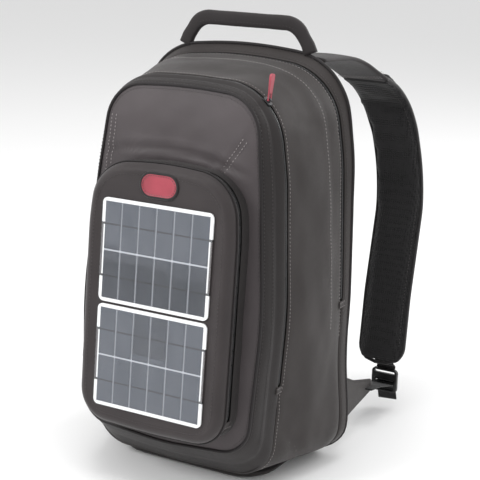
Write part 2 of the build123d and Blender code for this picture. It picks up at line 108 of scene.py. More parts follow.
def corner_run(before, here, after, radius, low, high):
    """Points of one rounded corner, from low to high of its arc."""
    back, ahead = unit(before - here), unit(after - here)
    half_angle = math.acos(np.clip(back @ ahead, -1, 1)) / 2
    centre = here + unit(back + ahead) * radius / math.sin(half_angle)
    reach = radius / math.tan(half_angle)
    first, last = unit(here + back * reach - centre), unit(here + ahead * reach - centre)
    turn = max(math.acos(np.clip(first @ last, -1, 1)), 1e-6)
    shares = np.linspace(low, high, 13)[:, None]
    spread = first * np.sin((1 - shares) * turn) + last * np.sin(shares * turn)
    return centre + radius * spread / math.sin(turn)


def half_outline(outline, counts=SECTION_COUNTS):
    """One side of an outline, from the bottom centre to the top centre, evenly spaced."""
    flat = [np.array(corner[:2], float) for corner in outline]
    flat = [flat[1] * (-1, 1)] + flat + [flat[-2] * (-1, 1)]
    last = len(outline)
    dense, marks = [], [0]
    for i in range(1, last + 1):
        low, high = (0.5, 1) if i == 1 else (0, 0.5) if i == last else (0, 1)
        run = corner_run(flat[i - 1], flat[i], flat[i + 1], outline[i - 1][2], low, high)
        dense.extend(run)
        if 1 < i < last:
            marks.append(len(dense) - 7)
    marks.append(len(dense) - 1)
    dense = np.array(dense)
    length = np.concatenate([[0], np.cumsum(np.linalg.norm(np.diff(dense, axis=0), axis=1))])
    stops = [np.linspace(length[a], length[b], n + 1)[:-1] for a, b, n in zip(marks, marks[1:], counts)]
    stops = np.concatenate(stops + [[length[-1]]])
    return np.stack([np.interp(stops, length, dense[:, k]) for k in (0, 1)], 1)


def full_outline(outline, counts=SECTION_COUNTS):
    """The closed outline, from the bottom centre up the right side and down the left."""
    half = half_outline(outline, counts)
    return np.concatenate([half, (half * (-1, 1))[-2:0:-1]])


def outward(flat):
    """The outward normals of a closed outline."""
    run = np.roll(flat, -1, 0) - np.roll(flat, 1, 0)
    normal = np.stack([run[:, 1], -run[:, 0]], 1)
    return normal / np.linalg.norm(normal, axis=1)[:, None]


def smooth_step(value, low, high):
    share = np.clip((value - low) / (high - low), 0, 1)
    return share * share * (3 - 2 * share)


def bump(value, centre, width):
    return np.exp(-(((value - centre) / width) ** 2))


def ripple(points, scale, seed):
    """Smooth noise from -1 to 1 at each point; scale is the size of a fold along each axis."""
    scaled = np.asarray(points).reshape(-1, 3) / scale + seed * 7.31
    values = [noise.noise(Vector(point)) for point in scaled]
    return np.array(values).reshape(np.asarray(points).shape[:-1])


# --- meshes --------------------------------------------------------------------------------
def to_object(name, points, faces, materials, smooth=True, marks=None):
    """A mesh object from points in millimetres; marks gives each face's material."""
    mesh = bpy.data.meshes.new(name)
    places = [tuple(point) for point in np.asarray(points) * MM]
    mesh.from_pydata(places, [], [tuple(map(int, face)) for face in faces])
    for material in materials:
        mesh.materials.append(material)
    if marks is not None:
        mesh.polygons.foreach_set("material_index", marks)
    mesh.polygons.foreach_set("use_smooth", [smooth] * len(mesh.polygons))
    mesh.validate()
    mesh.update()
    made = bpy.data.objects.new(name, mesh)
    bpy.context.scene.collection.objects.link(made)
    return made


def grid_faces(rows, columns, wrap, first=0):
    """Quads of a grid of points, closed along its columns when wrap is set."""
    faces = []
    for row in range(rows - 1):
        for column in range(columns if wrap else columns - 1):
            beside = (column + 1) % columns
            corner = first + row * columns
            above = corner + columns
            faces.append((corner + column, corner + beside, above + beside, above + column))
    return faces


def grid_normals(grid, wrap):
    """Normals of a grid of points, on the side that cross(column run, row run) points to."""
    if wrap:
        along = np.roll(grid, -1, 1) - np.roll(grid, 1, 1)
    else:
        along = np.gradient(grid, axis=1)
    normal = np.cross(along, np.gradient(grid, axis=0))
    return normal / np.maximum(np.linalg.norm(normal, axis=2), 1e-9)[..., None]


def cloth(name, grid, thickness, wrap, materials, flip=False, cap=False):
    """A grid of points made into closed fabric: outside, lining and edges."""
    rows, columns = grid.shape[:2]
    normal = grid_normals(grid, wrap) * (-1 if flip else 1)
    inner = grid - normal * thickness
    count = rows * columns
    faces = grid_faces(rows, columns, wrap)
    outer_count = len(faces)
    faces += [face[::-1] for face in grid_faces(rows, columns, wrap, count)]
    if cap:
        faces.append([(rows - 1) * columns + k for k in range(columns)])
        faces.append([count + (rows - 1) * columns + k for k in range(columns)][::-1])
    marks = [0] * outer_count + [1] * (len(faces) - outer_count)
    if cap:
        marks[-2] = 0
    rims = []
    for row in (0,) if cap else (0, rows - 1):
        loop = [row * columns + k for k in range(columns)]
        rims += [(a, b) if row else (b, a) for a, b in zip(loop, loop[1:] + loop[:1] if wrap else loop[1:])]
    if not wrap:
        for column in (0, columns - 1):
            loop = [column + k * columns for k in range(rows)]
            rims += [(b, a) if column else (a, b) for a, b in zip(loop, loop[1:])]
    for a, b in rims:
        faces.append((a, b, b + count, a + count))
        marks.append(0)
    if flip:
        faces = [tuple(face)[::-1] for face in faces]
    points = np.concatenate([grid.reshape(-1, 3), inner.reshape(-1, 3)])
    return to_object(name, points, faces, materials, marks=marks)


def frames_along(path, closed, guide):
    """Tangent, side and guide directions along a path; guide is roughly the outward way."""
    path = np.asarray(path, float)
    if closed:
        run = np.roll(path, -1, 0) - np.roll(path, 1, 0)
    else:
        run = np.gradient(path, axis=0)
    tangent = run / np.linalg.norm(run, axis=1)[:, None]
    guide = np.broadcast_to(np.asarray(guide, float), path.shape)
    guide = guide - (guide * tangent).sum(1)[:, None] * tangent
    guide = guide / np.linalg.norm(guide, axis=1)[:, None]
    return tangent, np.cross(tangent, guide), guide


def sweep(name, path, profile, closed, guide, materials, scales=None, smooth=True):
    """A profile of (side, outward) points swept along a path, closed or with capped ends."""
    path = np.asarray(path, float)
    _, side, out = frames_along(path, closed, guide)
    profile = np.asarray(profile, float)
    scales = np.ones(len(path)) if scales is None else np.asarray(scales)
    section = side[:, None] * profile[None, :, :1] + out[:, None] * profile[None, :, 1:]
    rings = path[:, None] + section * scales[:, None, None]
    rows, columns = rings.shape[:2]
    faces = grid_faces(rows, columns, True)
    if closed:
        last = (rows - 1) * columns
        faces += [(last + k, last + (k + 1) % columns, (k + 1) % columns, k) for k in range(columns)]
    else:
        faces.append(tuple(range(columns))[::-1])
        faces.append(tuple((rows - 1) * columns + k for k in range(columns)))
    faces = [tuple(face)[::-1] for face in faces]
    return to_object(name, rings.reshape(-1, 3), faces, materials, smooth)


def round_profile(radius, sides=10, squash=1.0):
    angles = np.linspace(0, 2 * math.pi, sides, endpoint=False)
    return np.stack([np.cos(angles) * radius, np.sin(angles) * radius * squash], 1)


def band_profile(width, thickness, crown=0.0, steps=8):
    """A flat band's section with rounded edges and, optionally, a crowned face."""
    half = width / 2 - thickness / 2
    across = np.linspace(half, -half, steps)
    top = np.stack([across, thickness / 2 + crown * (1 - (across / half) ** 2)], 1)
    rounding = thickness * 0.35
    left = [(-half - rounding, rounding), (-half - thickness / 2, 0), (-half - rounding, -rounding)]
    bottom = np.stack([-across, np.full(steps, -thickness / 2)], 1)
    right = [(-x, z) for x, z in left[::-1]]
    return np.concatenate([top, left, bottom, right])


def resample(path, step, closed):
    """The path's points at even distances."""
    path = np.asarray(path, float)
    if closed:
        path = np.concatenate([path, path[:1]])
    length = np.concatenate([[0], np.cumsum(np.linalg.norm(np.diff(path, axis=0), axis=1))])
    count = max(int(length[-1] / step), 2)
    stops = np.linspace(0, length[-1], count + (0 if closed else 1), endpoint=not closed)
    return np.stack([np.interp(stops, length, path[:, k]) for k in range(3)], 1)


def stitches(name, path, guide, body, closed=False, pitch=4.0, length=2.9, width=0.42, lift=0.15,
             thread=None):
    """A row of stitches along a path on the fabric."""
    path = np.asarray(path, float)
    guide = np.broadcast_to(np.asarray(guide, float), path.shape)
    both = np.concatenate([path, guide], 1)
    spots = resample(path, pitch, closed)
    nearest = [int(np.argmin(((path - spot) ** 2).sum(1))) for spot in spots]
    tangent, side, out = frames_along(spots, closed, both[nearest, 3:])
    points, faces = [], []
    for spot, run, across, lifted in zip(spots, tangent, side, out):
        base = len(points)
        centre = spot + lifted * lift
        points.append(centre - run * length / 2 - lifted * width)
        for turn in range(4):
            angle = turn * math.pi / 2
            points.append(centre + across * math.cos(angle) * width + lifted * math.sin(angle) * width)
        points.append(centre + run * length / 2 - lifted * width)
        for turn in range(4):
            a, b = base + 1 + turn, base + 1 + (turn + 1) % 4
            faces += [(base, a, b), (base + 5, b, a)]
    made = to_object(name, points, faces, [thread or MATERIALS["thread"]])
    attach(made, body)
    return made


# --- materials -----------------------------------------------------------------------------
class Graph:
    """A material under construction; settings are the shader's own constant sockets."""

    def __init__(self, name, **settings):
        self.material = bpy.data.materials.new(name)
        self.material.use_nodes = True
        self.tree = self.material.node_tree
        self.shader = self.tree.nodes["Principled BSDF"]
        for socket, value in settings.items():
            self.shader.inputs[socket.replace("_", " ")].default_value = value

    def node(self, kind, values=None, **options):
        made = self.tree.nodes.new("ShaderNode" + kind)
        for option, value in options.items():
            setattr(made, option, value)
        for socket, value in (values or {}).items():
            if isinstance(value, bpy.types.NodeSocket):
                self.tree.links.new(value, made.inputs[socket])
            else:
                made.inputs[socket].default_value = value
        return made

    def math(self, operation, first, second=0.0):
        return self.node("Math", {0: first, 1: second}, operation=operation).outputs[0]

    def place(self):
        return self.node("TexCoord").outputs["Object"]

    def noise(self, scale, detail=3.0, stretch=(1, 1, 1)):
        spread = self.node("Mapping", {"Vector": self.place(), "Scale": stretch}).outputs[0]
        return self.node("TexNoise", {"Vector": spread, "Scale": scale, "Detail": detail}).outputs["Fac"]

    def mix(self, share, low, high):
        made = self.node("Mix", data_type="RGBA")
        for socket, value in ((0, share), (6, low), (7, high)):
            if isinstance(value, bpy.types.NodeSocket):
                self.tree.links.new(value, made.inputs[socket])
            else:
                made.inputs[socket].default_value = value
        return made.outputs[2]

    def ramp(self, value, low, high, to_low=0.0, to_high=1.0):
        values = {"Value": value, "From Min": low, "From Max": high, "To Min": to_low, "To Max": to_high}
        return self.node("MapRange", values).outputs[0]

    def plug(self, socket, value):
        self.tree.links.new(value, self.shader.inputs[socket])

    def relief(self, height, strength, distance):
        values = {"Height": height, "Strength": strength, "Distance": distance}
        self.plug("Normal", self.node("Bump", values).outputs[0])

    def weave(self, pitch):
        """Height of a plain weave, read square to whichever way the surface faces."""
        axes = self.node("SeparateXYZ", {0: self.place()}).outputs
        facing = self.node("SeparateXYZ", {0: self.node("TexCoord").outputs["Normal"]}).outputs
        waves = [self.math("SINE", self.math("MULTIPLY", axis, 2 * math.pi / pitch)) for axis in axes]
        total = None
        for k in range(3):
            crossed = self.math("MULTIPLY", waves[(k + 1) % 3], waves[(k + 2) % 3])
            part = self.math("MULTIPLY", crossed, self.math("ABSOLUTE", facing[k]))
            total = part if total is None else self.math("ADD", total, part)
        return self.ramp(total, -1, 1)


def tone(colour, share):
    return tuple(min(channel * share, 1) for channel in colour) + (1,)


def fabric(name, colour, pitch, rough=0.6, sheen=0.3, relief=0.4, mottle=0.2, depth=0.00025):
    """Woven cloth: weave in relief, a painted highlight on the thread tops, soft mottling, and rubbed, paler
    edges.
    """
    graph = Graph(name, Sheen_Weight=sheen, Sheen_Roughness=0.45, Specular_IOR_Level=0.2)
    weave = graph.weave(pitch)
    cloudy = graph.noise(14, 4)
    fine = graph.noise(700, 2)
    base = graph.mix(graph.ramp(cloudy, 0.3, 0.7), tone(colour, 1 - mottle), tone(colour, 1 + mottle))
    # painted highlight: the thread tops are made lighter by the weave's height
    weave_highlit = graph.mix(graph.ramp(weave, 0, 1, 0.0, 0.35), base, tone(colour, 1.9))
    edges = graph.ramp(graph.node("NewGeometry").outputs["Pointiness"], 0.54, 0.66, 0.0, 0.3)
    rubbed = graph.math("MULTIPLY", edges, graph.ramp(graph.noise(60, 3), 0.35, 0.7))
    graph.plug("Base Color", graph.mix(rubbed, weave_highlit, tone(colour, 2.4)))
    graph.plug("Roughness", graph.ramp(fine, 0.2, 0.8, rough - 0.08, rough + 0.1))
    crinkle = graph.math("MULTIPLY", graph.noise(48, 4), 5.0)
    threads = graph.math("ADD", weave, graph.math("MULTIPLY", fine, 0.6))
    graph.relief(graph.math("ADD", threads, crinkle), relief, depth)
    return graph.material


def mesh_fabric(name, colour, pitch):
    """Spacer mesh: a knit with small open cells, painted dark in the holes as shade."""
    graph = Graph(name, Sheen_Weight=0.15, Specular_IOR_Level=0.25)
    cells = graph.node("TexVoronoi", {"Vector": graph.place(), "Scale": 1 / pitch, "Randomness": 0.25})
    wall = graph.ramp(cells.outputs["Distance"], 0.25, 0.5)
    # painted shade: the holes of the cells are darker than the knit walls
    base = graph.mix(wall, tone(colour, 0.35), tone(colour, 1.5))
    cloudy = graph.ramp(graph.noise(16, 3), 0.3, 0.7, 0, 0.3)
    graph.plug("Base Color", graph.mix(cloudy, base, tone(colour, 0.7)))
    graph.plug("Roughness", graph.ramp(graph.noise(300, 2), 0.3, 0.7, 0.75, 0.95))
    graph.relief(wall, 0.8, 0.0006)
    return graph.material


def plastic(name, colour, rough, grain=1500, relief=0.15, coat=0.0):
    """Moulded plastic or rubber: fine grain, slightly uneven gloss and paler worn edges."""
    graph = Graph(name, Coat_Weight=coat, Coat_Roughness=0.2)
    edges = graph.ramp(graph.node("NewGeometry").outputs["Pointiness"], 0.55, 0.7, 0.0, 0.35)
    base = graph.mix(graph.ramp(graph.noise(40, 3), 0.3, 0.7), tone(colour, 0.85), tone(colour, 1.15))
    graph.plug("Base Color", graph.mix(edges, base, tone(colour, 2.2)))
    graph.plug("Roughness", graph.ramp(graph.noise(120, 3), 0.3, 0.7, rough - 0.07, rough + 0.1))
    graph.relief(graph.noise(grain, 2), relief, 0.0001)
    return graph.material


def panel_height(graph):
    """Millimetres up each solar module from its foot, and distance from its centre line."""
    axes = graph.node("SeparateXYZ", {0: graph.place()}).outputs
    tilt = math.radians(FRONT[1])
    y = graph.math("MULTIPLY", axes[1], math.sin(tilt) * 1000)
    z = graph.math("MULTIPLY", axes[2], math.cos(tilt) * 1000)
    rise = graph.math("SUBTRACT", graph.math("ADD", y, z), PANEL_FOOT + FRONT[0] * math.sin(tilt))
    across = graph.math("MULTIPLY", graph.math("ABSOLUTE", axes[0]), 1000)
    return graph.math("MODULO", rise, PANEL_PITCH), across


def near(graph, value, target, reach):
    return graph.math("LESS_THAN", graph.math("ABSOLUTE", graph.math("SUBTRACT", value, target)), reach)


def solar_cell():
    graph = Graph("solar_cell", Coat_Weight=0.25, Coat_Roughness=0.15, Metallic=0.0)
    height, _ = panel_height(graph)
    blotchy = graph.noise(55, 3, (1, 1, 0.35))
    base = graph.mix(graph.ramp(blotchy, 0.3, 0.7), (0.040, 0.048, 0.066, 1), (0.068, 0.076, 0.096, 1))
    axes = graph.node("SeparateXYZ", {0: graph.place()}).outputs
    fingers = graph.math("SINE", graph.math("MULTIPLY", axes[2], 2 * math.pi / 0.0021))
    base = graph.mix(graph.ramp(fingers, 0.75, 1.0, 0, 0.25), base, (0.13, 0.14, 0.17, 1))
    bars = graph.math("ADD", near(graph, height, 28, 0.9), near(graph, height, 84, 0.9))
    graph.plug("Base Color", graph.mix(bars, base, (0.022, 0.024, 0.03, 1)))
    graph.plug("Roughness", graph.ramp(blotchy, 0.3, 0.7, 0.32, 0.45))
    return graph.material


def solar_board():
    graph = Graph("solar_board", Coat_Weight=0.4, Coat_Roughness=0.15)
    height, across = panel_height(graph)
    middle = near(graph, height, 56, 28)
    inside = graph.math("MULTIPLY", graph.math("LESS_THAN", across, 64.2), near(graph, height, 56, 52.2))
    base = graph.mix(inside, (0.84, 0.85, 0.85, 1), (0.20, 0.212, 0.24, 1))
    ridge = graph.math("MULTIPLY", near(graph, height, 56, 1.4), graph.math("LESS_THAN", across, 64.2))
    base = graph.mix(ridge, base, (0.46, 0.48, 0.52, 1))
    shaded = graph.math("MULTIPLY", middle, graph.math("GREATER_THAN", across, 65.9))
    base = graph.mix(shaded, base, (0.075, 0.066, 0.066, 1))
    notch = graph.math("ADD", near(graph, height, 28, 1.3), near(graph, height, 84, 1.3))
    notch = graph.math("MULTIPLY", notch, graph.math("GREATER_THAN", across, 63.8))
    graph.plug("Base Color", graph.mix(notch, base, (0.02, 0.02, 0.022, 1)))
    graph.plug("Roughness", graph.ramp(graph.noise(200, 2), 0.3, 0.7, 0.3, 0.42))
    return graph.material


def clear_cover():
    graph = Graph("clear_cover", Alpha=0.05, Specular_IOR_Level=0.5)
    # painted reflection: the pale bluish colour, faint under the low alpha, is a veil that stands in for the
    # cover's sheen
    graph.plug("Base Color", graph.mix(graph.noise(30, 2), (0.8, 0.84, 0.9, 1), (0.9, 0.92, 0.95, 1)))
    graph.plug("Roughness", graph.ramp(graph.noise(90, 3), 0.3, 0.7, 0.1, 0.2))
    return graph.material


MATERIALS = {
    "shell": fabric("shell_fabric", (0.027, 0.023, 0.0222), 0.0011, 0.52, 0.12, 0.4),
    "front": fabric("front_fabric", (0.056, 0.048, 0.050), 0.0009, 0.40, 0.2, 0.3),
    "dark": fabric("dark_fabric", (0.022, 0.019, 0.0195), 0.0013, 0.62, 0.12, 0.5),
    "dark_face": fabric("pocket_fabric", (0.032, 0.027, 0.0275), 0.0011, 0.5, 0.15, 0.4),
    "zip_band": fabric("zip_band_fabric", (0.019, 0.0165, 0.0165), 0.0010, 0.55, 0.1, 0.4),
    "lining": fabric("lining_fabric", (0.10, 0.093, 0.093), 0.0008, 0.65, 0.1, 0.25),
    "piping": fabric("piping_fabric", (0.014, 0.012, 0.0125), 0.0009, 0.5, 0.1, 0.3),
    "tape": fabric("zip_tape", (0.014, 0.013, 0.014), 0.0010, 0.7, 0.1, 0.5),
    "webbing": fabric("webbing", (0.010, 0.0095, 0.010), 0.0022, 0.6, 0.2, 0.9, 0.15, 0.0005),
    "binding": fabric("binding_tape", (0.014, 0.013, 0.0135), 0.0015, 0.6, 0.25, 0.6),
    "mesh": mesh_fabric("spacer_mesh", (0.012, 0.0115, 0.012), 0.0028),
    "thread": plastic("thread", (0.27, 0.25, 0.245), 0.6, 3000),
    "dark_thread": plastic("dark_thread", (0.045, 0.04, 0.04), 0.6, 3000),
    "coil": plastic("zip_coil", (0.012, 0.012, 0.013), 0.32, 3000),
    "metal": plastic("slider_metal", (0.022, 0.022, 0.024), 0.35, 2000, 0.1, 0.2),
    "buckle": plastic("buckle_plastic", (0.012, 0.012, 0.0125), 0.4, 1200, 0.3),
    "red": plastic("red_rubber", (0.30, 0.035, 0.055), 0.42, 1500, 0.2, 0.15),
    "sheet": plastic("frame_plastic", (0.6, 0.6, 0.6), 0.45),
    "battery": plastic("battery_case", (0.03, 0.03, 0.033), 0.5, 900, 0.5),
    "cell": solar_cell(),
    "board": solar_board(),
    "cover": clear_cover(),
}


def dress(names, key):
    """Gives carried-over frame nodes a finished material."""
    for name in names:
        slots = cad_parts[name].data.materials
        slots.clear()
        slots.append(MATERIALS[key])


dress(("upper_cells", "lower_cells"), "cell")
dress(("upper_board", "lower_board"), "board")
dress(("upper_cover", "lower_cover"), "cover")
dress(("ladder_lock_right", "ladder_lock_left", "junction_boxes", "panel_jack"), "buckle")
dress(("pocket_slider", "front_slider", "main_slider"), "metal")
dress(("front_pull",), "red")
dress(("pocket_pull", "main_pull"), "buckle")
dress(("frame_sheet",), "sheet")
dress(("battery_pack",), "battery")


# --- walls of the bag ------------------------------------------------------------------------
def sagged(points):
    """The load's bulge: the sides swell near the floor, most of all towards the wearer."""
    points = np.array(points, float)
    x, y, z = points[..., 0], points[..., 1], points[..., 2]
    amount = 11 * bump(z, 42, 62) * smooth_step(y, -45, 85) * smooth_step(np.abs(x), 85, 132)
    points[..., 0] = x + np.sign(x) * amount
    return points


def seam_gap(height, zip_end, wide=TAPE_GAP):
    """How far fabric stays from the middle of a seam: wide along the zipper, closed below it."""
    return 0.4 + (wide - 0.4) * smooth_step(height, zip_end - 5, zip_end + 3)


def seam_points(plane, outline, side, zip_end=None, wide=TAPE_GAP):
    """A closed seam line, kept clear of the seam's middle on one side of it."""
    flat = full_outline(outline)
    gap = 0 if zip_end is None else side * seam_gap(flat[:, 1], zip_end, wide)
    return on_plane(plane, flat, gap)


def wall(first, second, outlines, rows, puff, fold, seed, shape=None, sag=True):
    """A closed wall of fabric between two seam lines, with its hems rolled in at both ends."""
    shares = (1 - np.cos(np.linspace(0, math.pi, rows))) / 2
    grid = first[None] * (1 - shares)[:, None, None] + second[None] * shares[:, None, None]
    normals = [outward(full_outline(outline)) for outline in outlines]
    flat = normals[0][None] * (1 - shares)[:, None, None] + normals[1][None] * shares[:, None, None]
    out = np.stack([flat[..., 0], np.zeros(flat.shape[:2]), flat[..., 1]], -1)
    body = (4 * shares * (1 - shares))[:, None] ** 0.45
    height = grid[..., 2]
    swell = puff * (0.55 + 0.45 * bump(height, 120, 130)) * body
    wide_folds = ripple(grid, np.array((60, 34, 90)), seed)
    narrow_folds = ripple(grid, np.array((26, 17, 34)), seed + 3)
    folds = fold * body * (wide_folds + 0.45 * narrow_folds)
    above_floor = smooth_step(height, 4, 40)
    lift = swell * np.where(out[..., 2] < -0.7, 0.2, 1) + folds * above_floor
    if shape is not None:
        lift = lift + shape(grid, shares[:, None] + 0 * height)
    grid = grid + out * lift[..., None]
    grid = sagged(grid) if sag else grid
    grid[..., 2] = np.maximum(grid[..., 2], 1.2)
    return grid


def disc(plane, outline, rings, height):
    """A closed face inside an outline: rings of (share of the outline, inset) with a height map."""
    flat = full_outline(outline)
    centre = np.array((0, (flat[:, 1].max() + flat[:, 1].min()) / 2))
    out = outward(flat)
    rows = []
    for share, inset in rings:
        ring = centre + (flat - out * inset - centre) * share
        rows.append(on_plane(plane, ring, height(ring[:, 0], ring[:, 1], share)))
    return np.array(rows)


def even_rings(count, power=0.8):
    return [(1 - 0.985 * (k / (count - 1)) ** (1 / power), 0) for k in range(count)]


def add_cloth(name, grid, thickness, wrap, outside, body, replaced=(), flip=False, cap=False,
              inside="lining"):
    """Fabric with its outside and inside materials, riding on a body unless that is None."""
    made = cloth(name, grid, thickness, wrap, [MATERIALS[outside], MATERIALS[inside]], flip, cap)
    if body:
        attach(made, body)
    if replaced:
        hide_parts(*replaced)
    return made


# rear shell, from the main zipper to the back seam
rear_first = seam_points(MAIN, SEAM_MAIN, -1, MAIN_ZIP_END)
rear_second = seam_points(BACK, SEAM_BACK, 0)
rear_grid = wall(rear_first, rear_second, (SEAM_MAIN, SEAM_BACK), 8, 1.6, 0.8, 1)
add_cloth("rear_shell_skin", rear_grid, 1.4, True, "shell", "bag_body", ("back_shell",),
          flip=True)


def back_height(x, height, share):
    return -1.5 * (1 - share ** 6) + 0.5 * np.sin(height / 31) * (1 - share ** 8)


back_grid = sagged(disc(BACK, SEAM_BACK, even_rings(22), back_height))
add_cloth("back_panel_skin", back_grid, 1.2, True, "dark", "bag_body", flip=True, cap=True)


# main gusset, between the front zipper and the main zipper
def gusset_shape(grid, shares):
    """Swollen sides, the zipper band's overlapped hem, a cross seam and creases by the base."""
    x, y, z = grid[..., 0], grid[..., 1], grid[..., 2]
    hem = 1.1 * smooth_step(y, 46.5, 49) * smooth_step(z, 150, 200)
    side = smooth_step(np.abs(x), 95, 118)
    swell = 4.5 * side * bump(z, 150, 150) * (4 * shares * (1 - shares)) ** 0.8
    low_crease = bump(z + 0.9 * y - 42, 0, 5) * smooth_step(shares, 0.03, 0.2)
    low_crease = low_crease * smooth_step(0.7 - shares, 0, 0.2)
    high_crease = bump(z + 0.5 * y - 92, 0, 7) * smooth_step(0.4 - shares, 0, 0.3)
    crease = -2.8 * side * low_crease - 2.0 * side * high_crease
    cross = -1.0 * bump(z + 0.25 * y - 400, 0, 2.2) * side
    return swell + crease + cross - hem


gusset_first = seam_points(BAND, SEAM_BAND, -1, FRONT_ZIP_END)
gusset_second = seam_points(MAIN, SEAM_MAIN, 1, MAIN_ZIP_END)
gusset_grid = wall(gusset_first, gusset_second, (SEAM_BAND, SEAM_MAIN), 30, 2.0, 2.1, 2, gusset_shape)
add_cloth("main_gusset_skin", gusset_grid, 1.4, True, "shell", "main_cover",
          ("main_gusset",), flip=True)


# front gusset, between the front panel's piping and the front zipper
def band_shape(grid, shares):
    """A flap along the front half, then the sunken strip that carries the zipper."""
    return 1.4 * (1 - smooth_step(shares, 0.50, 0.56)) - 0.3 + 0.5 * np.sin(shares * 9)


band_first = seam_points(FRONT, SEAM_FRONT, 0)
band_second = seam_points(BAND, SEAM_BAND, 1, FRONT_ZIP_END)
band_grid = wall(band_first, band_second, (SEAM_FRONT, SEAM_BAND), 26, 1.6, 1.4, 4, band_shape)
add_cloth("front_gusset_skin", band_grid, 1.4, True, "zip_band", "front_cover",
          ("front_panel",), flip=True)

DIAGONALS = {1: ((79, 384), (43, 331)), -1: ((-82, 395), (-87, 331))}


def seam_distance(x, height, ends):
    """Signed distance from a straight seam on the front panel."""
    (x0, h0), (x1, h1) = ends
    length = math.hypot(x1 - x0, h1 - h0)
    return ((x - x0) * (h1 - h0) - (height - h0) * (x1 - x0)) / length


def front_height(x, height, share):
    """The front panel's crown, its sewn diagonals and the soft folds above the pocket."""
    edge = 1 - share ** 7
    rise = 5.0 * edge
    for side, ends in DIAGONALS.items():
        distance = seam_distance(x, height, ends)
        rise = rise - 1.3 * bump(distance, 0, 2.4) * edge + 0.6 * bump(distance, 6, 5) * edge
    arc = height - 366 + 0.0016 * (x + 15) ** 2
    rise = rise + edge * (1.2 * bump(arc, 6, 4.5) - 2.2 * bump(arc, 0, 3.2) + 1.6 * bump(arc, -7, 5))
    rise = rise - edge * 0.8 * bump(arc, -14, 4) * bump(x, 20, 45)
    points = np.stack([x, height, 0 * x], 1)
    return rise + edge * (1.9 * ripple(points, 55, 5) + 1.1 * ripple(points, 21, 6))


face_grid = disc(FRONT, SEAM_FRONT, even_rings(44), front_height)
add_cloth("front_panel_skin", face_grid, 1.2, True, "front", "front_cover", cap=True)

# solar pocket: its rear wall, then face, shoulder and front wall as one piece
pocket_flat = full_outline(POCKET)
pocket_rear_first = on_plane(FRONT, pocket_flat + outward(pocket_flat) * 1.0, 0.3)
pocket_gap = seam_gap(pocket_flat[:, 1], POCKET_ZIP_END)
pocket_rear_second = on_plane(FRONT, pocket_flat, POCKET_SPLIT - pocket_gap)
pocket_rear = wall(pocket_rear_second, pocket_rear_first, (POCKET, POCKET), 12, 1.2, 0.7, 8, sag=False)
add_cloth("pocket_rear_skin", pocket_rear, 1.3, True, "zip_band", "front_cover",
          ("pocket_rear_gusset",), flip=True)

SHOULDER = 9.0
shoulder_steps = [k / 9 * math.pi / 2 for k in range(10)]
pocket_rows = []
out_flat = outward(pocket_flat)
wall_top = POCKET_DEPTH - SHOULDER
wall_rows = 7
for k in range(wall_rows):
    share = k / wall_rows
    offset = POCKET_SPLIT + pocket_gap + (wall_top - POCKET_SPLIT - pocket_gap) * share
    swell = 0.9 * math.sin(share * math.pi) ** 0.6
    pocket_rows.append(on_plane(FRONT, pocket_flat + out_flat * swell, offset))
for angle in shoulder_steps:
    ring = pocket_flat - out_flat * SHOULDER * (1 - math.cos(angle))
    rim = 1.3 * math.sin(angle) ** 4
    pocket_rows.append(on_plane(FRONT, ring, wall_top + SHOULDER * math.sin(angle) + rim))
inner_flat = pocket_flat - out_flat * SHOULDER
pocket_centre = np.array((0, 205))


def plateau(ring):
    """The pocket's face: pressed flat by the modules, soft and slightly raised round them."""
    x, height = ring[:, 0], ring[:, 1]
    low = PANEL_FOOT - 3
    high = PANEL_FOOT + PANEL_PITCH + PANEL_SIZE[1] + 3
    beside = np.maximum(np.abs(x) - 71, np.maximum(low - height, height - high))
    soft = smooth_step(beside, 0, 9)
    badge_room = bump(np.hypot(x / 1.9, height - 331), 0, 14)
    points = np.stack([x, height, 0 * x], 1)
    return POCKET_DEPTH - 0.35 + soft * (1.6 + 0.6 * ripple(points, 30, 9)) * (1 - badge_room)


for k in range(1, 30):
    share = 1 - 0.985 * (k / 29) ** 1.15
    ring = pocket_centre + (inner_flat - pocket_centre) * share
    pocket_rows.append(on_plane(FRONT, ring, plateau(ring)))
pocket_grid = np.array(pocket_rows)
add_cloth("solar_pocket_skin", pocket_grid, 1.2, True, "dark_face", "solar_flap",
          ("pocket_face", "pocket_front_gusset"), cap=True)


# --- seams: zippers, piping, fabric strips inside the seams below the openings, and stitching ---
def lean(plane, flat_directions):
    """Directions in a leaning plane, from (x, height) to the frame's axes."""
    tilt = math.radians(plane[1])
    x, rise = flat_directions[:, 0], flat_directions[:, 1]
    return np.stack([x, rise * math.sin(tilt), rise * math.cos(tilt)], 1)


def seam_run(plane, outline, low, high=1e9, offset=0.0, inset=0.0, sag=True):
    """The part of a seam between two heights as one open run, with its outward directions."""
    flat = full_outline(outline)
    out = outward(flat)
    if high < 1e9:
        flat, out = (np.roll(rows, len(flat) // 2, axis=0) for rows in (flat, out))
    kept = (flat[:, 1] > low) & (flat[:, 1] < high)
    flat, out = flat[kept], out[kept]
    points = on_plane(plane, flat - out * inset, offset)
    return (sagged(points) if sag else points), lean(plane, out)


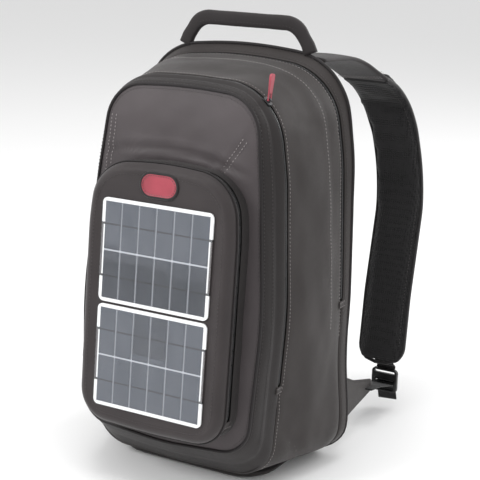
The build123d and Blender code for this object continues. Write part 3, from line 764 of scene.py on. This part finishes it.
def zipper(name, plane, outline, zip_end, bodies, nodes):
    """Tape and teeth of both halves, above a height; bodies and nodes are (rear, front) pairs."""
    across = np.array((0, -math.cos(math.radians(plane[1])), math.sin(math.radians(plane[1]))))
    for side, body, node, word in ((-1, bodies[0], nodes[0], "rear"), (1, bodies[1], nodes[1], "front")):
        rows = [seam_run(plane, outline, zip_end, offset=side * far, inset=inset)[0]
                for far, inset in ((0.3, 1.3), (2.0, 1.5), (7.0, 2.6))]
        add_cloth(f"{name}_tape_{word}", np.array(rows), 0.5, False, "tape", body, (node,),
                  flip=side < 0, inside="tape")
        run, out = seam_run(plane, outline, zip_end, offset=side * 0.65, inset=1.0)
        both = np.concatenate([run, out], 1)
        spots = resample(run, 2.0, False)
        if side < 0:
            spots = (spots[:-1] + spots[1:]) / 2
        nearest = [int(np.argmin(((run - spot) ** 2).sum(1))) for spot in spots]
        tangent, _, lifted = frames_along(spots, False, both[nearest, 3:])
        points, faces = [], []
        for spot, along, up in zip(spots, tangent, lifted):
            base = len(points)
            for rise, reach in ((-0.5, 1.15), (0.35, 1.15), (0.65, 0.8)):
                long = 0.55 if rise < 0.5 else 0.385
                for a, b in ((-1, -1), (1, -1), (1, 1), (-1, 1)):
                    points.append(spot + along * a * long + across * b * reach + up * rise)
            faces += grid_faces(3, 4, True, base)
            faces += [(base + 3, base + 2, base + 1, base), (base + 8, base + 9, base + 10, base + 11)]
        teeth = to_object(f"{name}_teeth_{word}", points, faces, [MATERIALS["coil"]], smooth=False)
        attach(teeth, body)


def bartack(name, plane, outline, height, side, body):
    """A stitched fabric tab across the end of a zipper."""
    flat = half_outline(outline)
    out = outward(full_outline(outline))[: len(flat)]
    index = int(np.argmin(np.abs(flat[:, 1] - height) + 1e3 * (flat[:, 0] < 40)))
    point = (flat[index] + out[index] * 0.7) * (side, 1)
    guide = lean(plane, (out[index] * (side, 1))[None])[0]
    path = sagged(np.array([on_plane(plane, point, offset) for offset in np.linspace(-6, 6, 7)]))
    tab = sweep(name, path, band_profile(8, 1.1), False, guide, [MATERIALS["shell"]])
    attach(tab, body)
    rise = path + guide * 0.7
    for k, shift in enumerate((-2.4, 2.4)):
        stitches(f"{name}_stitches_{k}", rise + (0, 0, shift), guide, body, pitch=2.4, length=1.7, width=0.28)


def piping(name, points, out, radius, material, body, replaced=()):
    """Covered cord sewn into a seam, slightly uneven along its length."""
    uneven = 1 + 0.07 * ripple(points, 14, 12)
    made = sweep(name, points, round_profile(radius, 10), True, out, [MATERIALS[material]], uneven)
    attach(made, body)
    if replaced:
        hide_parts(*replaced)


def closed_seam(plane, outline, offset, inset, sag=True):
    flat = full_outline(outline)
    out = outward(flat)
    points = on_plane(plane, flat - out * inset, offset)
    return (sagged(points) if sag else points), lean(plane, out)


def gore(name, plane, outline, zip_end, half, sag):
    """A strip of fabric across the inside of a seam, up to a little above the zipper's end."""
    rows = [seam_run(plane, outline, -1e9, zip_end + 8, offset, 2.6 - abs(offset) * 0.1, sag)[0]
            for offset in np.linspace(-half, half, 11)]
    made = add_cloth(name, np.array(rows), 0.6, False, "zip_band", None)
    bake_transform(made)


zipper("main_zip", MAIN, SEAM_MAIN, MAIN_ZIP_END, ("bag_body", "main_cover"),
       ("main_zip_rear", "main_zip_front"))
zipper("front_zip", BAND, SEAM_BAND, FRONT_ZIP_END, ("main_cover", "front_cover"),
       ("front_zip_rear", "front_zip_front"))
# the pocket's zipper lies on the front plane moved out to the middle of the pocket's wall
tilt = math.radians(FRONT[1])
SPLIT = (FRONT[0] - POCKET_SPLIT / math.cos(tilt), FRONT[1])
rise_shift = POCKET_SPLIT * math.tan(tilt)
POCKET_ON_SPLIT = [(x, height + rise_shift, radius) for x, height, radius in POCKET]
zipper("pocket_zip", SPLIT, POCKET_ON_SPLIT, POCKET_ZIP_END + rise_shift, ("front_cover", "solar_flap"),
       ("pocket_zip_rear", "pocket_zip_front"))

gore("main_gore", MAIN, SEAM_MAIN, MAIN_ZIP_END, 5, True)
gore("front_gore", BAND, SEAM_BAND, FRONT_ZIP_END, 5, True)
gore("pocket_gore", SPLIT, POCKET_ON_SPLIT, POCKET_ZIP_END + rise_shift, 4,
     False)

for side, word in SIDES.items():
    bartack(f"main_zip_end_{word}", MAIN, SEAM_MAIN, MAIN_ZIP_END - 2, side, "bag_body")
    bartack(f"front_zip_end_{word}", BAND, SEAM_BAND, FRONT_ZIP_END - 2, side, "main_cover")
    bartack(f"pocket_zip_end_{word}", SPLIT, POCKET_ON_SPLIT, POCKET_ZIP_END, side, "front_cover")

points, out = closed_seam(FRONT, SEAM_FRONT, 0.4, -0.7)
piping("front_panel_piping", points, out, 1.8, "piping", "front_cover", ("front_piping",))
points, out = closed_seam(BACK, SEAM_BACK, 1.6, -0.5)
points[:, 2] = np.maximum(points[:, 2], 2.2)
piping("back_seam_piping", points, out, 1.9, "piping", "bag_body", ("back_piping",))
points, out = closed_seam(FRONT, POCKET, POCKET_DEPTH - SHOULDER - 0.5, -0.9, False)
piping("solar_pocket_piping", points, out, 1.1, "piping", "solar_flap", ("pocket_piping",))


def grid_stitches(name, grid, row, body, low, lift=0.2, flip=True, thread=None):
    """Stitches along one row of a wall's grid, above a height."""
    normal = grid_normals(grid, True)[row] * (-1 if flip else 1)
    line = grid[row]
    kept = line[:, 2] > low
    index = np.flatnonzero(kept)
    if len(index) < len(line):
        gap = int(np.argmax(np.diff(np.concatenate([index, [index[0] + len(line)]]))))
        index = np.roll(index, -(gap + 1))
    stitches(name, line[index] + normal[index] * lift, normal[index], body,
             closed=len(index) == len(line), thread=thread)


def row_at(grid, column, y):
    """The row of a wall's grid that lies nearest a depth at one column."""
    return int(np.argmin(np.abs(grid[:, column, 1] - y)))


side_column = SECTION_COUNTS[0] + SECTION_COUNTS[1]
dark_thread = MATERIALS["dark_thread"]
band_row = row_at(gusset_grid, side_column, 46)
grid_stitches("main_zip_stitches", gusset_grid, len(gusset_grid) - 3, "main_cover", 150)
grid_stitches("main_band_stitches", gusset_grid, band_row, "main_cover", 165)
grid_stitches("front_zip_back_stitches", gusset_grid, 3, "main_cover", 20)
for name, grid, row, body, low, flip in (
    ("rear_zip_stitches", rear_grid, 2, "bag_body", 40, True),
    ("rear_seam_stitches", rear_grid, len(rear_grid) - 3, "bag_body", 10, True),
    ("front_flap_stitches", band_grid, int(len(band_grid) * 0.46), "front_cover", 60, True),
    ("front_seam_stitches", band_grid, 4, "front_cover", 60, True),
    ("face_edge_stitches", face_grid, 2, "front_cover", 60, False),
    ("pocket_shoulder_stitches", pocket_grid, wall_rows + 10, "solar_flap", -1e9, False),
):
    grid_stitches(name, grid, row, body, low, flip=flip, thread=dark_thread)

for side, ends in DIAGONALS.items():
    (x0, h0), (x1, h1) = ends
    across = unit(np.array((h1 - h0, x0 - x1), float))
    for k, shift in enumerate((-2.6, 2.6)):
        shares = np.linspace(0, 1, 24)
        flat = np.array((x0, h0)) + shares[:, None] * np.array((x1 - x0, h1 - h0)) + across * shift
        line = on_plane(FRONT, flat, front_height(flat[:, 0], flat[:, 1], 0.78) + 0.25)
        stitches(f"diagonal_stitches_{SIDES[side]}_{k}", line, (0, -1, 0.087), "front_cover")


# --- padded pieces ---------------------------------------------------------------------------
PRESSURE, SIM_FRAMES = 4.0, 20
PAD_VOXEL, PAD_SHRINK = 5.0, 1.5


def remeshed_copy(node, name, voxel, shrink):
    """A frame node's solid as a new even mesh, slightly smaller so that it has room to swell."""
    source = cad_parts[node]
    piece = bpy.data.objects.new(name, source.data.copy())
    bpy.context.scene.collection.objects.link(piece)
    piece.data.materials.clear()
    remesh = piece.modifiers.new("even", "REMESH")
    remesh.mode = "VOXEL"
    remesh.voxel_size = voxel * MM
    relax = piece.modifiers.new("relax", "SMOOTH")
    relax.factor, relax.iterations = 0.5, 6
    settle(piece)
    normals = np.array([vertex.normal for vertex in piece.data.vertices])
    write(piece, read(piece) - normals * shrink)
    return piece


def read(piece):
    """A piece's points in millimetres."""
    points = np.zeros(len(piece.data.vertices) * 3)
    piece.data.vertices.foreach_get("co", points)
    return points.reshape(-1, 3) / MM


def write(piece, points):
    """Moves a piece's points to new places in millimetres."""
    piece.data.vertices.foreach_set("co", (np.asarray(points) * MM).ravel())
    piece.data.update()


def settle(piece):
    """Applies every modifier of a piece to its mesh."""
    bpy.context.view_layer.update()
    graph = bpy.context.evaluated_depsgraph_get()
    mesh = bpy.data.meshes.new_from_object(piece.evaluated_get(graph))
    old = piece.data
    piece.modifiers.clear()
    piece.data = mesh
    bpy.data.meshes.remove(old)


def inflate(piece, cap):
    """Swells a closed piece as cloth under pressure, outwards only and no further than the cap."""
    start = read(piece)
    normals = np.array([vertex.normal for vertex in piece.data.vertices])
    pressed = piece.modifiers.new("pressed", "CLOTH")
    pressed.settings.use_pressure = True
    pressed.settings.uniform_pressure_force = PRESSURE
    pressed.settings.effector_weights.gravity = 0
    scene = bpy.context.scene
    for step in range(1, SIM_FRAMES + 1):
        scene.frame_set(step)
    bpy.context.view_layer.update()
    graph = bpy.context.evaluated_depsgraph_get()
    swollen = bpy.data.meshes.new_from_object(piece.evaluated_get(graph))
    points = np.array([vertex.co for vertex in swollen.vertices]) / MM
    bpy.data.meshes.remove(swollen)
    piece.modifiers.clear()
    scene.frame_set(1)
    move = np.clip(((points - start) * normals).sum(1), 0, cap)
    write(piece, start + normals * move[:, None])


def padded(node, name, body, cap, sew=None, low_side=None):
    """A foam pad in spacer mesh: swollen by simulation, smoothed, then sewn."""
    piece = remeshed_copy(node, name, PAD_VOXEL, PAD_SHRINK)
    inflate(piece, cap)
    finer = piece.modifiers.new("finer", "SUBSURF")
    finer.levels = finer.render_levels = 1
    settle(piece)
    points = read(piece)
    if sew is not None:
        points = sew(points)
    if low_side is not None:
        points[:, 1] = np.maximum(points[:, 1], low_side)
    write(piece, points)
    piece.data.materials.append(MATERIALS["mesh"])
    piece.data.polygons.foreach_set("use_smooth", [True] * len(piece.data.polygons))
    piece.data.update()
    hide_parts(node)
    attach(piece, body)


PAD_FRONT, PAD_THICKNESS = BACK[0] + 0.4, 11
CHANNEL_DEPTH, CHANNEL_WIDTH = 4.2, 3.4


def sewn_back(points):
    """Sewn channels across a back pad."""
    rise = smooth_step((points[:, 1] - PAD_FRONT) / PAD_THICKNESS, 0.3, 1)
    for height in (185, 232, 279, 326, 373):
        cut = CHANNEL_DEPTH * bump(points[:, 2], height, CHANNEL_WIDTH) * rise
        points[:, 1] -= cut
    return points


def sewn_lumbar(points):
    """Sewn channels up and down the lumbar pad."""
    rise = smooth_step((points[:, 1] - PAD_FRONT) / PAD_THICKNESS, 0.3, 1)
    for x in (-49, 0, 49):
        cut = CHANNEL_DEPTH * bump(points[:, 0], x, CHANNEL_WIDTH) * rise
        points[:, 1] -= cut
    return points


def pad_binding(name, node):
    """Bound edge round a back pad, where it is sewn to the back panel."""
    low, high = (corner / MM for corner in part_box(node))
    corner = 26 if "back" in node else 30
    centres = [(high[0] - corner, low[2] + corner), (high[0] - corner, high[2] - corner),
               (low[0] + corner, high[2] - corner), (low[0] + corner, low[2] + corner)]
    path = []
    for k, (x, z) in enumerate(centres):
        for angle in np.linspace(k * math.pi / 2 - math.pi / 2, k * math.pi / 2, 9):
            path.append((x + corner * math.cos(angle), PAD_FRONT + 2.0, z + corner * math.sin(angle)))
    path = resample(path, 5, True)
    made = sweep(name, path, round_profile(2.1, 8), True, (0, 1, 0), [MATERIALS["binding"]])
    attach(made, "bag_body")


for word in ("right", "left"):
    padded(f"back_pad_{word}", f"back_pad_{word}_mesh", "bag_body", 5, sewn_back, PAD_FRONT)
    pad_binding(f"back_pad_{word}_binding", f"back_pad_{word}")
padded("lumbar_pad", "lumbar_pad_mesh", "bag_body", 5, sewn_lumbar, PAD_FRONT)
pad_binding("lumbar_pad_binding", "lumbar_pad")

# --- shoulder straps -------------------------------------------------------------------------
STRAP_SIDE_PATH = [(98, 452), (190, 447), (290, 396), (306, 290), (258, 150), (238, 66)]
STRAP_SIDE_RADII = [150, 58, 150, 200]
STRAP_FRONT_PATH = [(58, 475), (68, 436), (98, 350), (112, 250), (121, 60)]
STRAP_FRONT_RADII = [60, 120, 160]
STRAP_HALF = 31.0
WEBBING, WEBBING_X = band_profile(25, 1.6), 122
YOKE_END = 248
TIP = 22.0


def rounded_path(corners, radii):
    """An open path of straight runs and tangent arcs."""
    corners = [np.array(corner, float) for corner in corners]
    dense = [corners[0]]
    for k, radius in enumerate(radii, 1):
        dense.extend(corner_run(corners[k - 1], corners[k], corners[k + 1], radius, 0, 1))
    return np.array(dense + [corners[-1]])


def strap_route(side):
    """The middle line of one strap."""
    view = rounded_path(STRAP_SIDE_PATH, STRAP_SIDE_RADII)
    line = resample(np.column_stack([np.zeros(len(view)), view]), 4.0, False)
    front = rounded_path(STRAP_FRONT_PATH, STRAP_FRONT_RADII)[::-1]
    line[:, 0] = side * np.interp(line[:, 2], front[:, 1], front[:, 0])
    return line


def strap_guide(line):
    run = np.gradient(line, axis=0)
    guide = np.cross((1.0, 0, 0), run)
    return guide / np.linalg.norm(guide, axis=1)[:, None]


def tip_half_width(distance):
    """Half the strap's width near its rounded lower tip."""
    inside = np.clip(TIP - distance, 0, TIP)
    return STRAP_HALF - TIP + np.sqrt(TIP ** 2 - inside ** 2)


for side, word in SIDES.items():
    route = strap_route(side)
    guide = strap_guide(route)
    _, across, out = frames_along(route, False, guide)
    body = f"strap_{word}"
    in_yoke = (route[:, 1] < YOKE_END + 11) & (route[:, 2] > 380)
    yoke_line, yoke_guide = route[in_yoke].copy(), guide[in_yoke]
    uneven = 1 + 0.03 * ripple(yoke_line, 30, 21)
    yoke = sweep(f"yoke_{word}_fabric", yoke_line, band_profile(62, 4.6, 1.6, 12), False, yoke_guide,
                 [MATERIALS["dark"]], uneven)
    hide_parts(f"yoke_{word}")
    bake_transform(yoke)

    padded(f"strap_pad_{word}", f"strap_pad_{word}_mesh", body, 5)
    in_pad = (route[:, 1] > YOKE_END + 1) | (route[:, 2] < 380)
    pad_line, pad_across, pad_out = route[in_pad], across[in_pad], out[in_pad]
    from_end = np.linalg.norm(np.diff(pad_line[::-1], axis=0), axis=1)
    from_end = np.concatenate([[0], np.cumsum(from_end)])[::-1]
    width = tip_half_width(from_end)[:, None] - 2.2
    loop = np.concatenate([pad_line + pad_across * width, (pad_line - pad_across * width)[::-1]])
    loop_out = np.concatenate([pad_across, -pad_across[::-1]])
    binding = sweep(f"strap_binding_{word}", loop, round_profile(3.4, 10, 0.62), False, loop_out,
                    [MATERIALS["binding"]])
    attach(binding, body)
    sewn = slice(2, -6)
    for edge in (-1, 1):
        beside = pad_line[sewn] + pad_across[sewn] * edge * (STRAP_HALF - 6.5)
        for face in (-1, 1):
            line = beside + pad_out[sewn] * face * 6.0
            stitches(f"strap_stitches_{word}_{(edge + 1) // 2}{(face + 1) // 2}", line,
                     pad_out[sewn] * face, body, thread=dark_thread)
    seam = yoke_line[-1] + across[in_yoke][-1] * np.linspace(-29, 29, 12)[:, None]
    for k, shift in enumerate((-14.0, -18.0)):
        step = unit(yoke_line[-1] - yoke_line[-3]) * shift
        for face in (-1, 1):
            stitches(f"yoke_stitches_{word}_{k}{(face + 1) // 2}", seam + step + yoke_guide[-1] * face * 3.4,
                     yoke_guide[-1] * face, body)

    # webbing on the strap's outer face, down to the ladder lock
    low = int(np.argmin(np.abs(pad_line[:, 2] - 250)))
    web = pad_line[low:] + pad_out[low:] * 8.6
    web[:, 0] = side * np.interp(web[:, 2], (60, 250), (WEBBING_X, 113))
    lock_low, lock_high = (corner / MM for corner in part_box(f"ladder_lock_{word}"))
    lock_y = (lock_low[1] + lock_high[1]) / 2
    end_x = side * WEBBING_X
    end = np.array([(end_x, lock_y + 3.5, lock_high[2] + 3), (end_x, lock_y + 0.3, lock_high[2] - 3.5)])
    web = resample(np.concatenate([web, end]), 4, False)
    made = sweep(f"pad_webbing_{word}_strap", web, WEBBING, False, (0, 1, 0.15), [MATERIALS["webbing"]])
    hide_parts(f"pad_webbing_{word}")
    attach(made, body)

    wing_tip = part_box(f"wing_{word}")[1][1] / MM
    middle_z = (lock_low[2] + lock_high[2]) / 2
    low_corners = [(wing_tip - 22, 50), (wing_tip + 4, 46), (lock_y - 8, middle_z - 3),
                   (lock_y - 3.2, middle_z - 5)]
    low_path = rounded_path(low_corners, [40, 12])
    low_path = np.column_stack([np.full(len(low_path), side * 122.6), low_path])
    made = sweep(f"lower_webbing_{word}_strap", resample(low_path, 3, False), WEBBING, False, (0, 0.1, 1),
                 [MATERIALS["webbing"]])
    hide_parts(f"lower_webbing_{word}")
    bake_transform(made)

    tail_corners = [(lock_y - 3, middle_z + 1), (lock_y + 4.6, middle_z + 4), (lock_y + 5.4, middle_z - 12),
                    (lock_y + 8, 12)]
    tail = rounded_path(tail_corners, [3, 30])
    tail = np.column_stack([side * (WEBBING_X + 2.0 * smooth_step(40 - tail[:, 1], 0, 30)), tail])
    made = sweep(f"webbing_tail_{word}_strap", resample(tail, 2.5, False), WEBBING, False, (0, 1, 0.1),
                 [MATERIALS["webbing"]])
    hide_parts(f"webbing_tail_{word}")
    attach(made, f"lock_{word}")


# --- wings that carry the lower webbing --------------------------------------------------------
WING_OUTLINE = [(86, 20), (86, 102), (150, 71), (204, 56), (205, 42), (150, 33)]


# (share of the outline, share of half the thickness), from the edge to the middle
PILLOW_SECTION = ((1, 0), (0.985, 0.5), (0.93, 0.62), (0.86, 0.72), (0.7, 0.92), (0.5, 1.0), (0.25, 1.05),
                  (0.02, 1.05))


def pillow(name, outline, radii, place, normal, thickness, material, body, replaced):
    """A flat sewn shape from a rounded outline: full in the middle, thin at its bound edge."""
    count = len(outline)
    flat = [np.array(corner, float) for corner in outline]
    edge = []
    for k in range(count):
        edge.extend(corner_run(flat[k - 1], flat[k], flat[(k + 1) % count], radii[k], 0, 1))
    edge = resample(np.column_stack([np.zeros(len(edge)), edge]), 4, True)[:, 1:]
    centre = edge.mean(0)
    rows = []
    for share, height in PILLOW_SECTION:
        rows.append((centre + (edge - centre) * share, height * thickness / 2))
    points, faces = [], []
    columns = len(edge)
    for face in (1, -1):
        base = len(points)
        for ring, height in rows:
            points.extend(place(ring) + np.asarray(normal) * height * face)
        quads = grid_faces(len(rows), columns, True, base)
        quads.append(tuple(base + (len(rows) - 1) * columns + k for k in range(columns)))
        faces += [quad if face > 0 else quad[::-1] for quad in quads]
    made = to_object(name, points, faces, [MATERIALS[material]])
    weld(made)
    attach(made, body)
    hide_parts(replaced)
    return edge, centre


def weld(piece):
    """Joins points that coincide and turns every face outwards."""
    mesh = bmesh.new()
    mesh.from_mesh(piece.data)
    bmesh.ops.remove_doubles(mesh, verts=mesh.verts, dist=1e-6)
    bmesh.ops.recalc_face_normals(mesh, faces=mesh.faces)
    mesh.to_mesh(piece.data)
    mesh.free()


for side, word in SIDES.items():
    def wing_place(flat, side=side):
        x = side * (124 + 3.5 * (1 - smooth_step(flat[:, 0], 86, 130)))
        return np.column_stack([x, flat])

    edge, centre = pillow(f"wing_{word}_fabric", WING_OUTLINE, (3, 3, 60, 5, 5, 60), wing_place,
                          (1, 0, 0), 5.0, "shell", "bag_body", f"wing_{word}")
    hem = wing_place(centre + (edge - centre) * 0.9)
    for face in (-1, 1):
        stitches(f"wing_stitches_{word}_{(face + 1) // 2}", hem + (face * 1.9, 0, 0), (face, 0, 0),
                 "bag_body", closed=True, thread=dark_thread)

# --- carrying handle ---------------------------------------------------------------------------
HANDLE_PATH = [(-80, 459), (-76, 468.5), (-61, 490.5), (61, 490.5), (76, 468.5), (80, 459)]
HANDLE_SECTION = (4.3, 8.2)
handle_view = rounded_path(HANDLE_PATH, [12, 24, 24, 12])
handle_y = np.full(len(handle_view), BACK[0])
handle_line = resample(np.column_stack([handle_view[:, 0], handle_y, handle_view[:, 1]]), 3, False)
turns = np.linspace(0, 2 * math.pi, 20, endpoint=False)
circle = np.stack([np.cos(turns), np.sin(turns)], 1)
handle_profile = np.sign(circle) * np.abs(circle) ** 0.6 * HANDLE_SECTION
handle_run = np.gradient(handle_line, axis=0)
handle_out = np.cross(handle_run, (0, 1.0, 0))
handle_out = -handle_out / np.linalg.norm(handle_out, axis=1)[:, None]
handle_scale = 1 + 0.04 * ripple(handle_line, 14, 5) - 0.1 * bump(np.abs(handle_line[:, 0]), 72, 6)
handle_made = sweep("handle_fabric", handle_line, handle_profile, False, handle_out, [MATERIALS["dark"]],
                    handle_scale)
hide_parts("handle_grip")
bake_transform(handle_made)
grip = handle_line[np.abs(handle_line[:, 0]) < 60]
for edge in (-1, 1):
    seam = grip + (0, edge * HANDLE_SECTION[0] * 0.93, -3.0)
    stitches(f"handle_stitches_{(edge + 1) // 2}", seam, (0, edge, 0), "handle", thread=dark_thread)

# --- badge ---------------------------------------------------------------------------------
BADGE_HEIGHT, BADGE_SIZE, BADGE_CORNER = 331, (45, 25), 12.2
BADGE_GUIDE = (0, -1, 0.087)
# (share of the badge's width and height, offset from the pocket's face), from the back to the middle
BADGE_RINGS = (((1, 1), -0.4), ((1, 1), 1.2), ((0.985, 0.97), 1.7), ((0.93, 0.9), 1.9), ((0.9, 0.83), 1.3),
               ((0.7, 0.66), 1.5), ((0.4, 0.38), 1.6), ((0.05, 0.05), 1.6))


def rounded_rectangle(width, height, radius, steps=8):
    """A closed outline, counter-clockwise from the middle of the right edge."""
    corners = [(width / 2 - radius, height / 2 - radius, 0), (radius - width / 2, height / 2 - radius, 1),
               (radius - width / 2, radius - height / 2, 2), (width / 2 - radius, radius - height / 2, 3)]
    points = []
    for x, z, quarter in corners:
        for angle in np.linspace(quarter, quarter + 1, steps) * math.pi / 2:
            points.append((x + radius * math.cos(angle), z + radius * math.sin(angle)))
    return np.array(points)


def badge_ring(scale, offset):
    """One ring of the badge's dome."""
    flat = rounded_rectangle(BADGE_SIZE[0] * scale[0], BADGE_SIZE[1] * scale[1], BADGE_CORNER * min(scale))
    return on_plane(FRONT, flat + (0, BADGE_HEIGHT), POCKET_DEPTH + offset)


badge_grid = np.array([badge_ring(*ring) for ring in BADGE_RINGS])
badge_rows, badge_columns = badge_grid.shape[:2]
badge_faces = grid_faces(badge_rows, badge_columns, True)
badge_faces.append(tuple((badge_rows - 1) * badge_columns + k for k in range(badge_columns)))
badge_faces.append(tuple(range(badge_columns))[::-1])
badge_points = badge_grid.reshape(-1, 3)
badge_made = to_object("badge_patch", badge_points, badge_faces, [MATERIALS["red"]])
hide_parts("badge")
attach(badge_made, "solar_flap")
badge_flat = rounded_rectangle(*BADGE_SIZE, BADGE_CORNER) + (0, BADGE_HEIGHT)
badge_edge = resample(on_plane(FRONT, badge_flat, POCKET_DEPTH + 0.9), 2.5, True)
badge_rim = sweep("badge_rim", badge_edge, round_profile(1.7, 8, 0.8), True, BADGE_GUIDE,
                  [MATERIALS["binding"]])
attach(badge_rim, "solar_flap")
seam_flat = rounded_rectangle(BADGE_SIZE[0] - 5.0, BADGE_SIZE[1] - 5.0, 11) + (0, BADGE_HEIGHT)
badge_seam = on_plane(FRONT, seam_flat, POCKET_DEPTH + 1.8)
stitches("badge_stitches_0", badge_seam, BADGE_GUIDE, "solar_flap", closed=True, pitch=3, length=2,
         width=0.35, thread=dark_thread)

# --- base, lining pieces and pockets inside --------------------------------------------------


def pouch(name, plane, box, offset, depth, node, body, material, seed, full=0.9):
    """An open-topped pocket with a puffed face, a bound top edge and its own back."""
    low_x, high_x, low, high = box
    columns, rows = 36, 24
    shares = np.linspace(0, 1, rows)
    grid = []
    for share in shares:
        height = low + (high - low) * share
        angle = np.linspace(-1, 1, columns)
        x = (low_x + high_x) / 2 + (high_x - low_x) / 2 * angle
        swell = np.clip(1 - np.abs(angle) ** 4, 0, 1) * min(1.0, (share / 0.12) ** 0.5 if share > 0 else 0)
        line = np.stack([x, np.full(columns, height)], 1)
        grid.append(on_plane(plane, line, offset + 1.0 + (depth - 1.6) * full * swell))
    grid = np.array(grid)
    grid[1:-1, 2:-2, 1] += ripple(grid[1:-1, 2:-2], 40, seed) * 0.8
    face = cloth(name + "_front", grid, 0.9, False, [MATERIALS[material]] * 2)
    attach(face, body)
    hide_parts(node)
    flat = np.meshgrid(np.linspace(low_x, high_x, 12), np.linspace(low, high, 12))
    back = on_plane(plane, np.stack(flat, -1), offset + 0.9)
    behind = cloth(name + "_back", back, 0.8, False, [MATERIALS[material]] * 2)
    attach(behind, body)
    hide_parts(node)
    bind = sweep(name + "_binding", resample(grid[-1], 4, False), round_profile(1.5, 8), False, (0, -1, 0),
                 [MATERIALS["binding"]])
    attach(bind, body)
    stitches(name + "_hem", grid[-3] - (0, 0.3, 0), (0, -1, 0), body)


pouch("laptop_sleeve", BACK, (-114, 114, 46, 318), 4.8, 17.2, "laptop_sleeve", "bag_body", "lining", 2, 0.82)
pouch("organizer_pocket", BAND, (9, 87, 111, 259), -6.0, 8.3, "organizer_pocket", "main_cover", "lining", 3,
      0.8)
pouch("battery_pouch", BAND, (-83, -7, 151, 289), -6.0, 16.8, "battery_pouch", "main_cover", "mesh", 4, 0.97)


def flat_cloth(name, plane, ring, offset, thickness, material, body, node, seed):
    """A sewn-in sheet that fills an outline, with a few soft folds."""
    centre = ring.mean(0)
    shares = [1, 0.985, 0.9, 0.75, 0.6, 0.45, 0.3, 0.15, 0.02]
    grid = np.array([on_plane(plane, centre + (ring - centre) * share, offset) for share in shares])
    grid[1:, :, 1] += ripple(grid[1:], 50, seed) * 0.5
    made = cloth(name, grid, thickness, True, [MATERIALS[material]] * 2, cap=True)
    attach(made, body)
    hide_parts(node)


divider_outline = full_outline(SEAM_BAND)
divider_outline = divider_outline - outward(divider_outline) * 3.2
flat_cloth("divider_fabric", BAND, divider_outline, -6.4, 1.4, "lining", "main_cover",
           "divider_panel", 6)

# base, whose top follows the bag's underside; levels are (share of its height, inset)
BASE_HALF_WIDTH, BASE_LOW, BASE_HIGH = 96, -30, 87
base_flat = rounded_rectangle(2 * BASE_HALF_WIDTH, BASE_HIGH - BASE_LOW, 40) + (0, (BASE_LOW + BASE_HIGH) / 2)
base_levels = ((0.0, 8), (0.1, 4.5), (0.3, 1.6), (0.6, 0), (0.95, 0.4), (1.0, 4), (1.0, 30))
base_points = []
base_out = outward(base_flat)
for level, inset in base_levels:
    ring = base_flat - base_out * inset
    under_bag = 8.6 - (ring[:, 1] - BAND[0]) * 6 / (MAIN[0] - BAND[0])
    base_points.extend(np.column_stack([ring, level * np.maximum(under_bag, 2.5)]))
base_count = len(base_flat)
base_faces = grid_faces(len(base_levels), base_count, True)
base_faces.append(tuple(range(base_count))[::-1])
base_faces.append(tuple((len(base_levels) - 1) * base_count + k for k in range(base_count)))
# the base is a real part, and its darkest fabric also stands in as painted shade under the bag
base_made = to_object("base_board", base_points, base_faces, [MATERIALS["zip_band"]])
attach(base_made, "bag_body")
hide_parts("base_panel")

for node in ("handle_anchors", "yoke_anchors"):
    patch = remeshed_copy(node, node + "_fabric", 1.5, 0.0)
    patch.data.materials.append(MATERIALS["dark"])
    patch.data.polygons.foreach_set("use_smooth", [True] * len(patch.data.polygons))
    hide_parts(node)
    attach(patch, "bag_body")

# --- floor and light -------------------------------------------------------------------------
FLOOR_HALF, FLOOR_Z = 9000, -0.3
corners = [(x * FLOOR_HALF, y * FLOOR_HALF, FLOOR_Z) for x, y in ((-1, -1), (1, -1), (1, 1), (-1, 1))]
floor = to_object("floor", corners, [(0, 1, 2, 3)], [], smooth=False)
floor_look = Graph("studio_floor", Base_Color=(0.9, 0.9, 0.9, 1), Roughness=0.75)
floor.data.materials.append(floor_look.material)

LIGHTS = (
    ("key", (-1.5, -2.1, 1.9), (0, 0, 0.25), 46, 1.0),
    ("fill", (2.4, -1.3, 1.2), (0, 0, 0.25), 6, 1.6),
    ("top", (0.1, -0.2, 2.4), (0, 0, 0.3), 20, 1.2),
    ("rim", (1.3, 1.9, 1.4), (0, 0, 0.3), 22, 1.2),
)
for name, place, target, power, size in LIGHTS:
    data = bpy.data.lights.new(name, "AREA")
    data.energy, data.size = power, size
    lamp = bpy.data.objects.new(name, data)
    lamp.location = place
    lamp.rotation_euler = (Vector(target) - Vector(place)).to_track_quat("-Z", "Y").to_euler()
    bpy.context.scene.collection.objects.link(lamp)
world = bpy.data.worlds.new("studio")
world.use_nodes = True
world.node_tree.nodes["Background"].inputs["Color"].default_value = (1, 1, 1, 1)
world.node_tree.nodes["Background"].inputs["Strength"].default_value = 0.78
bpy.context.scene.world = world
bpy.context.scene.view_settings.view_transform = "Standard"
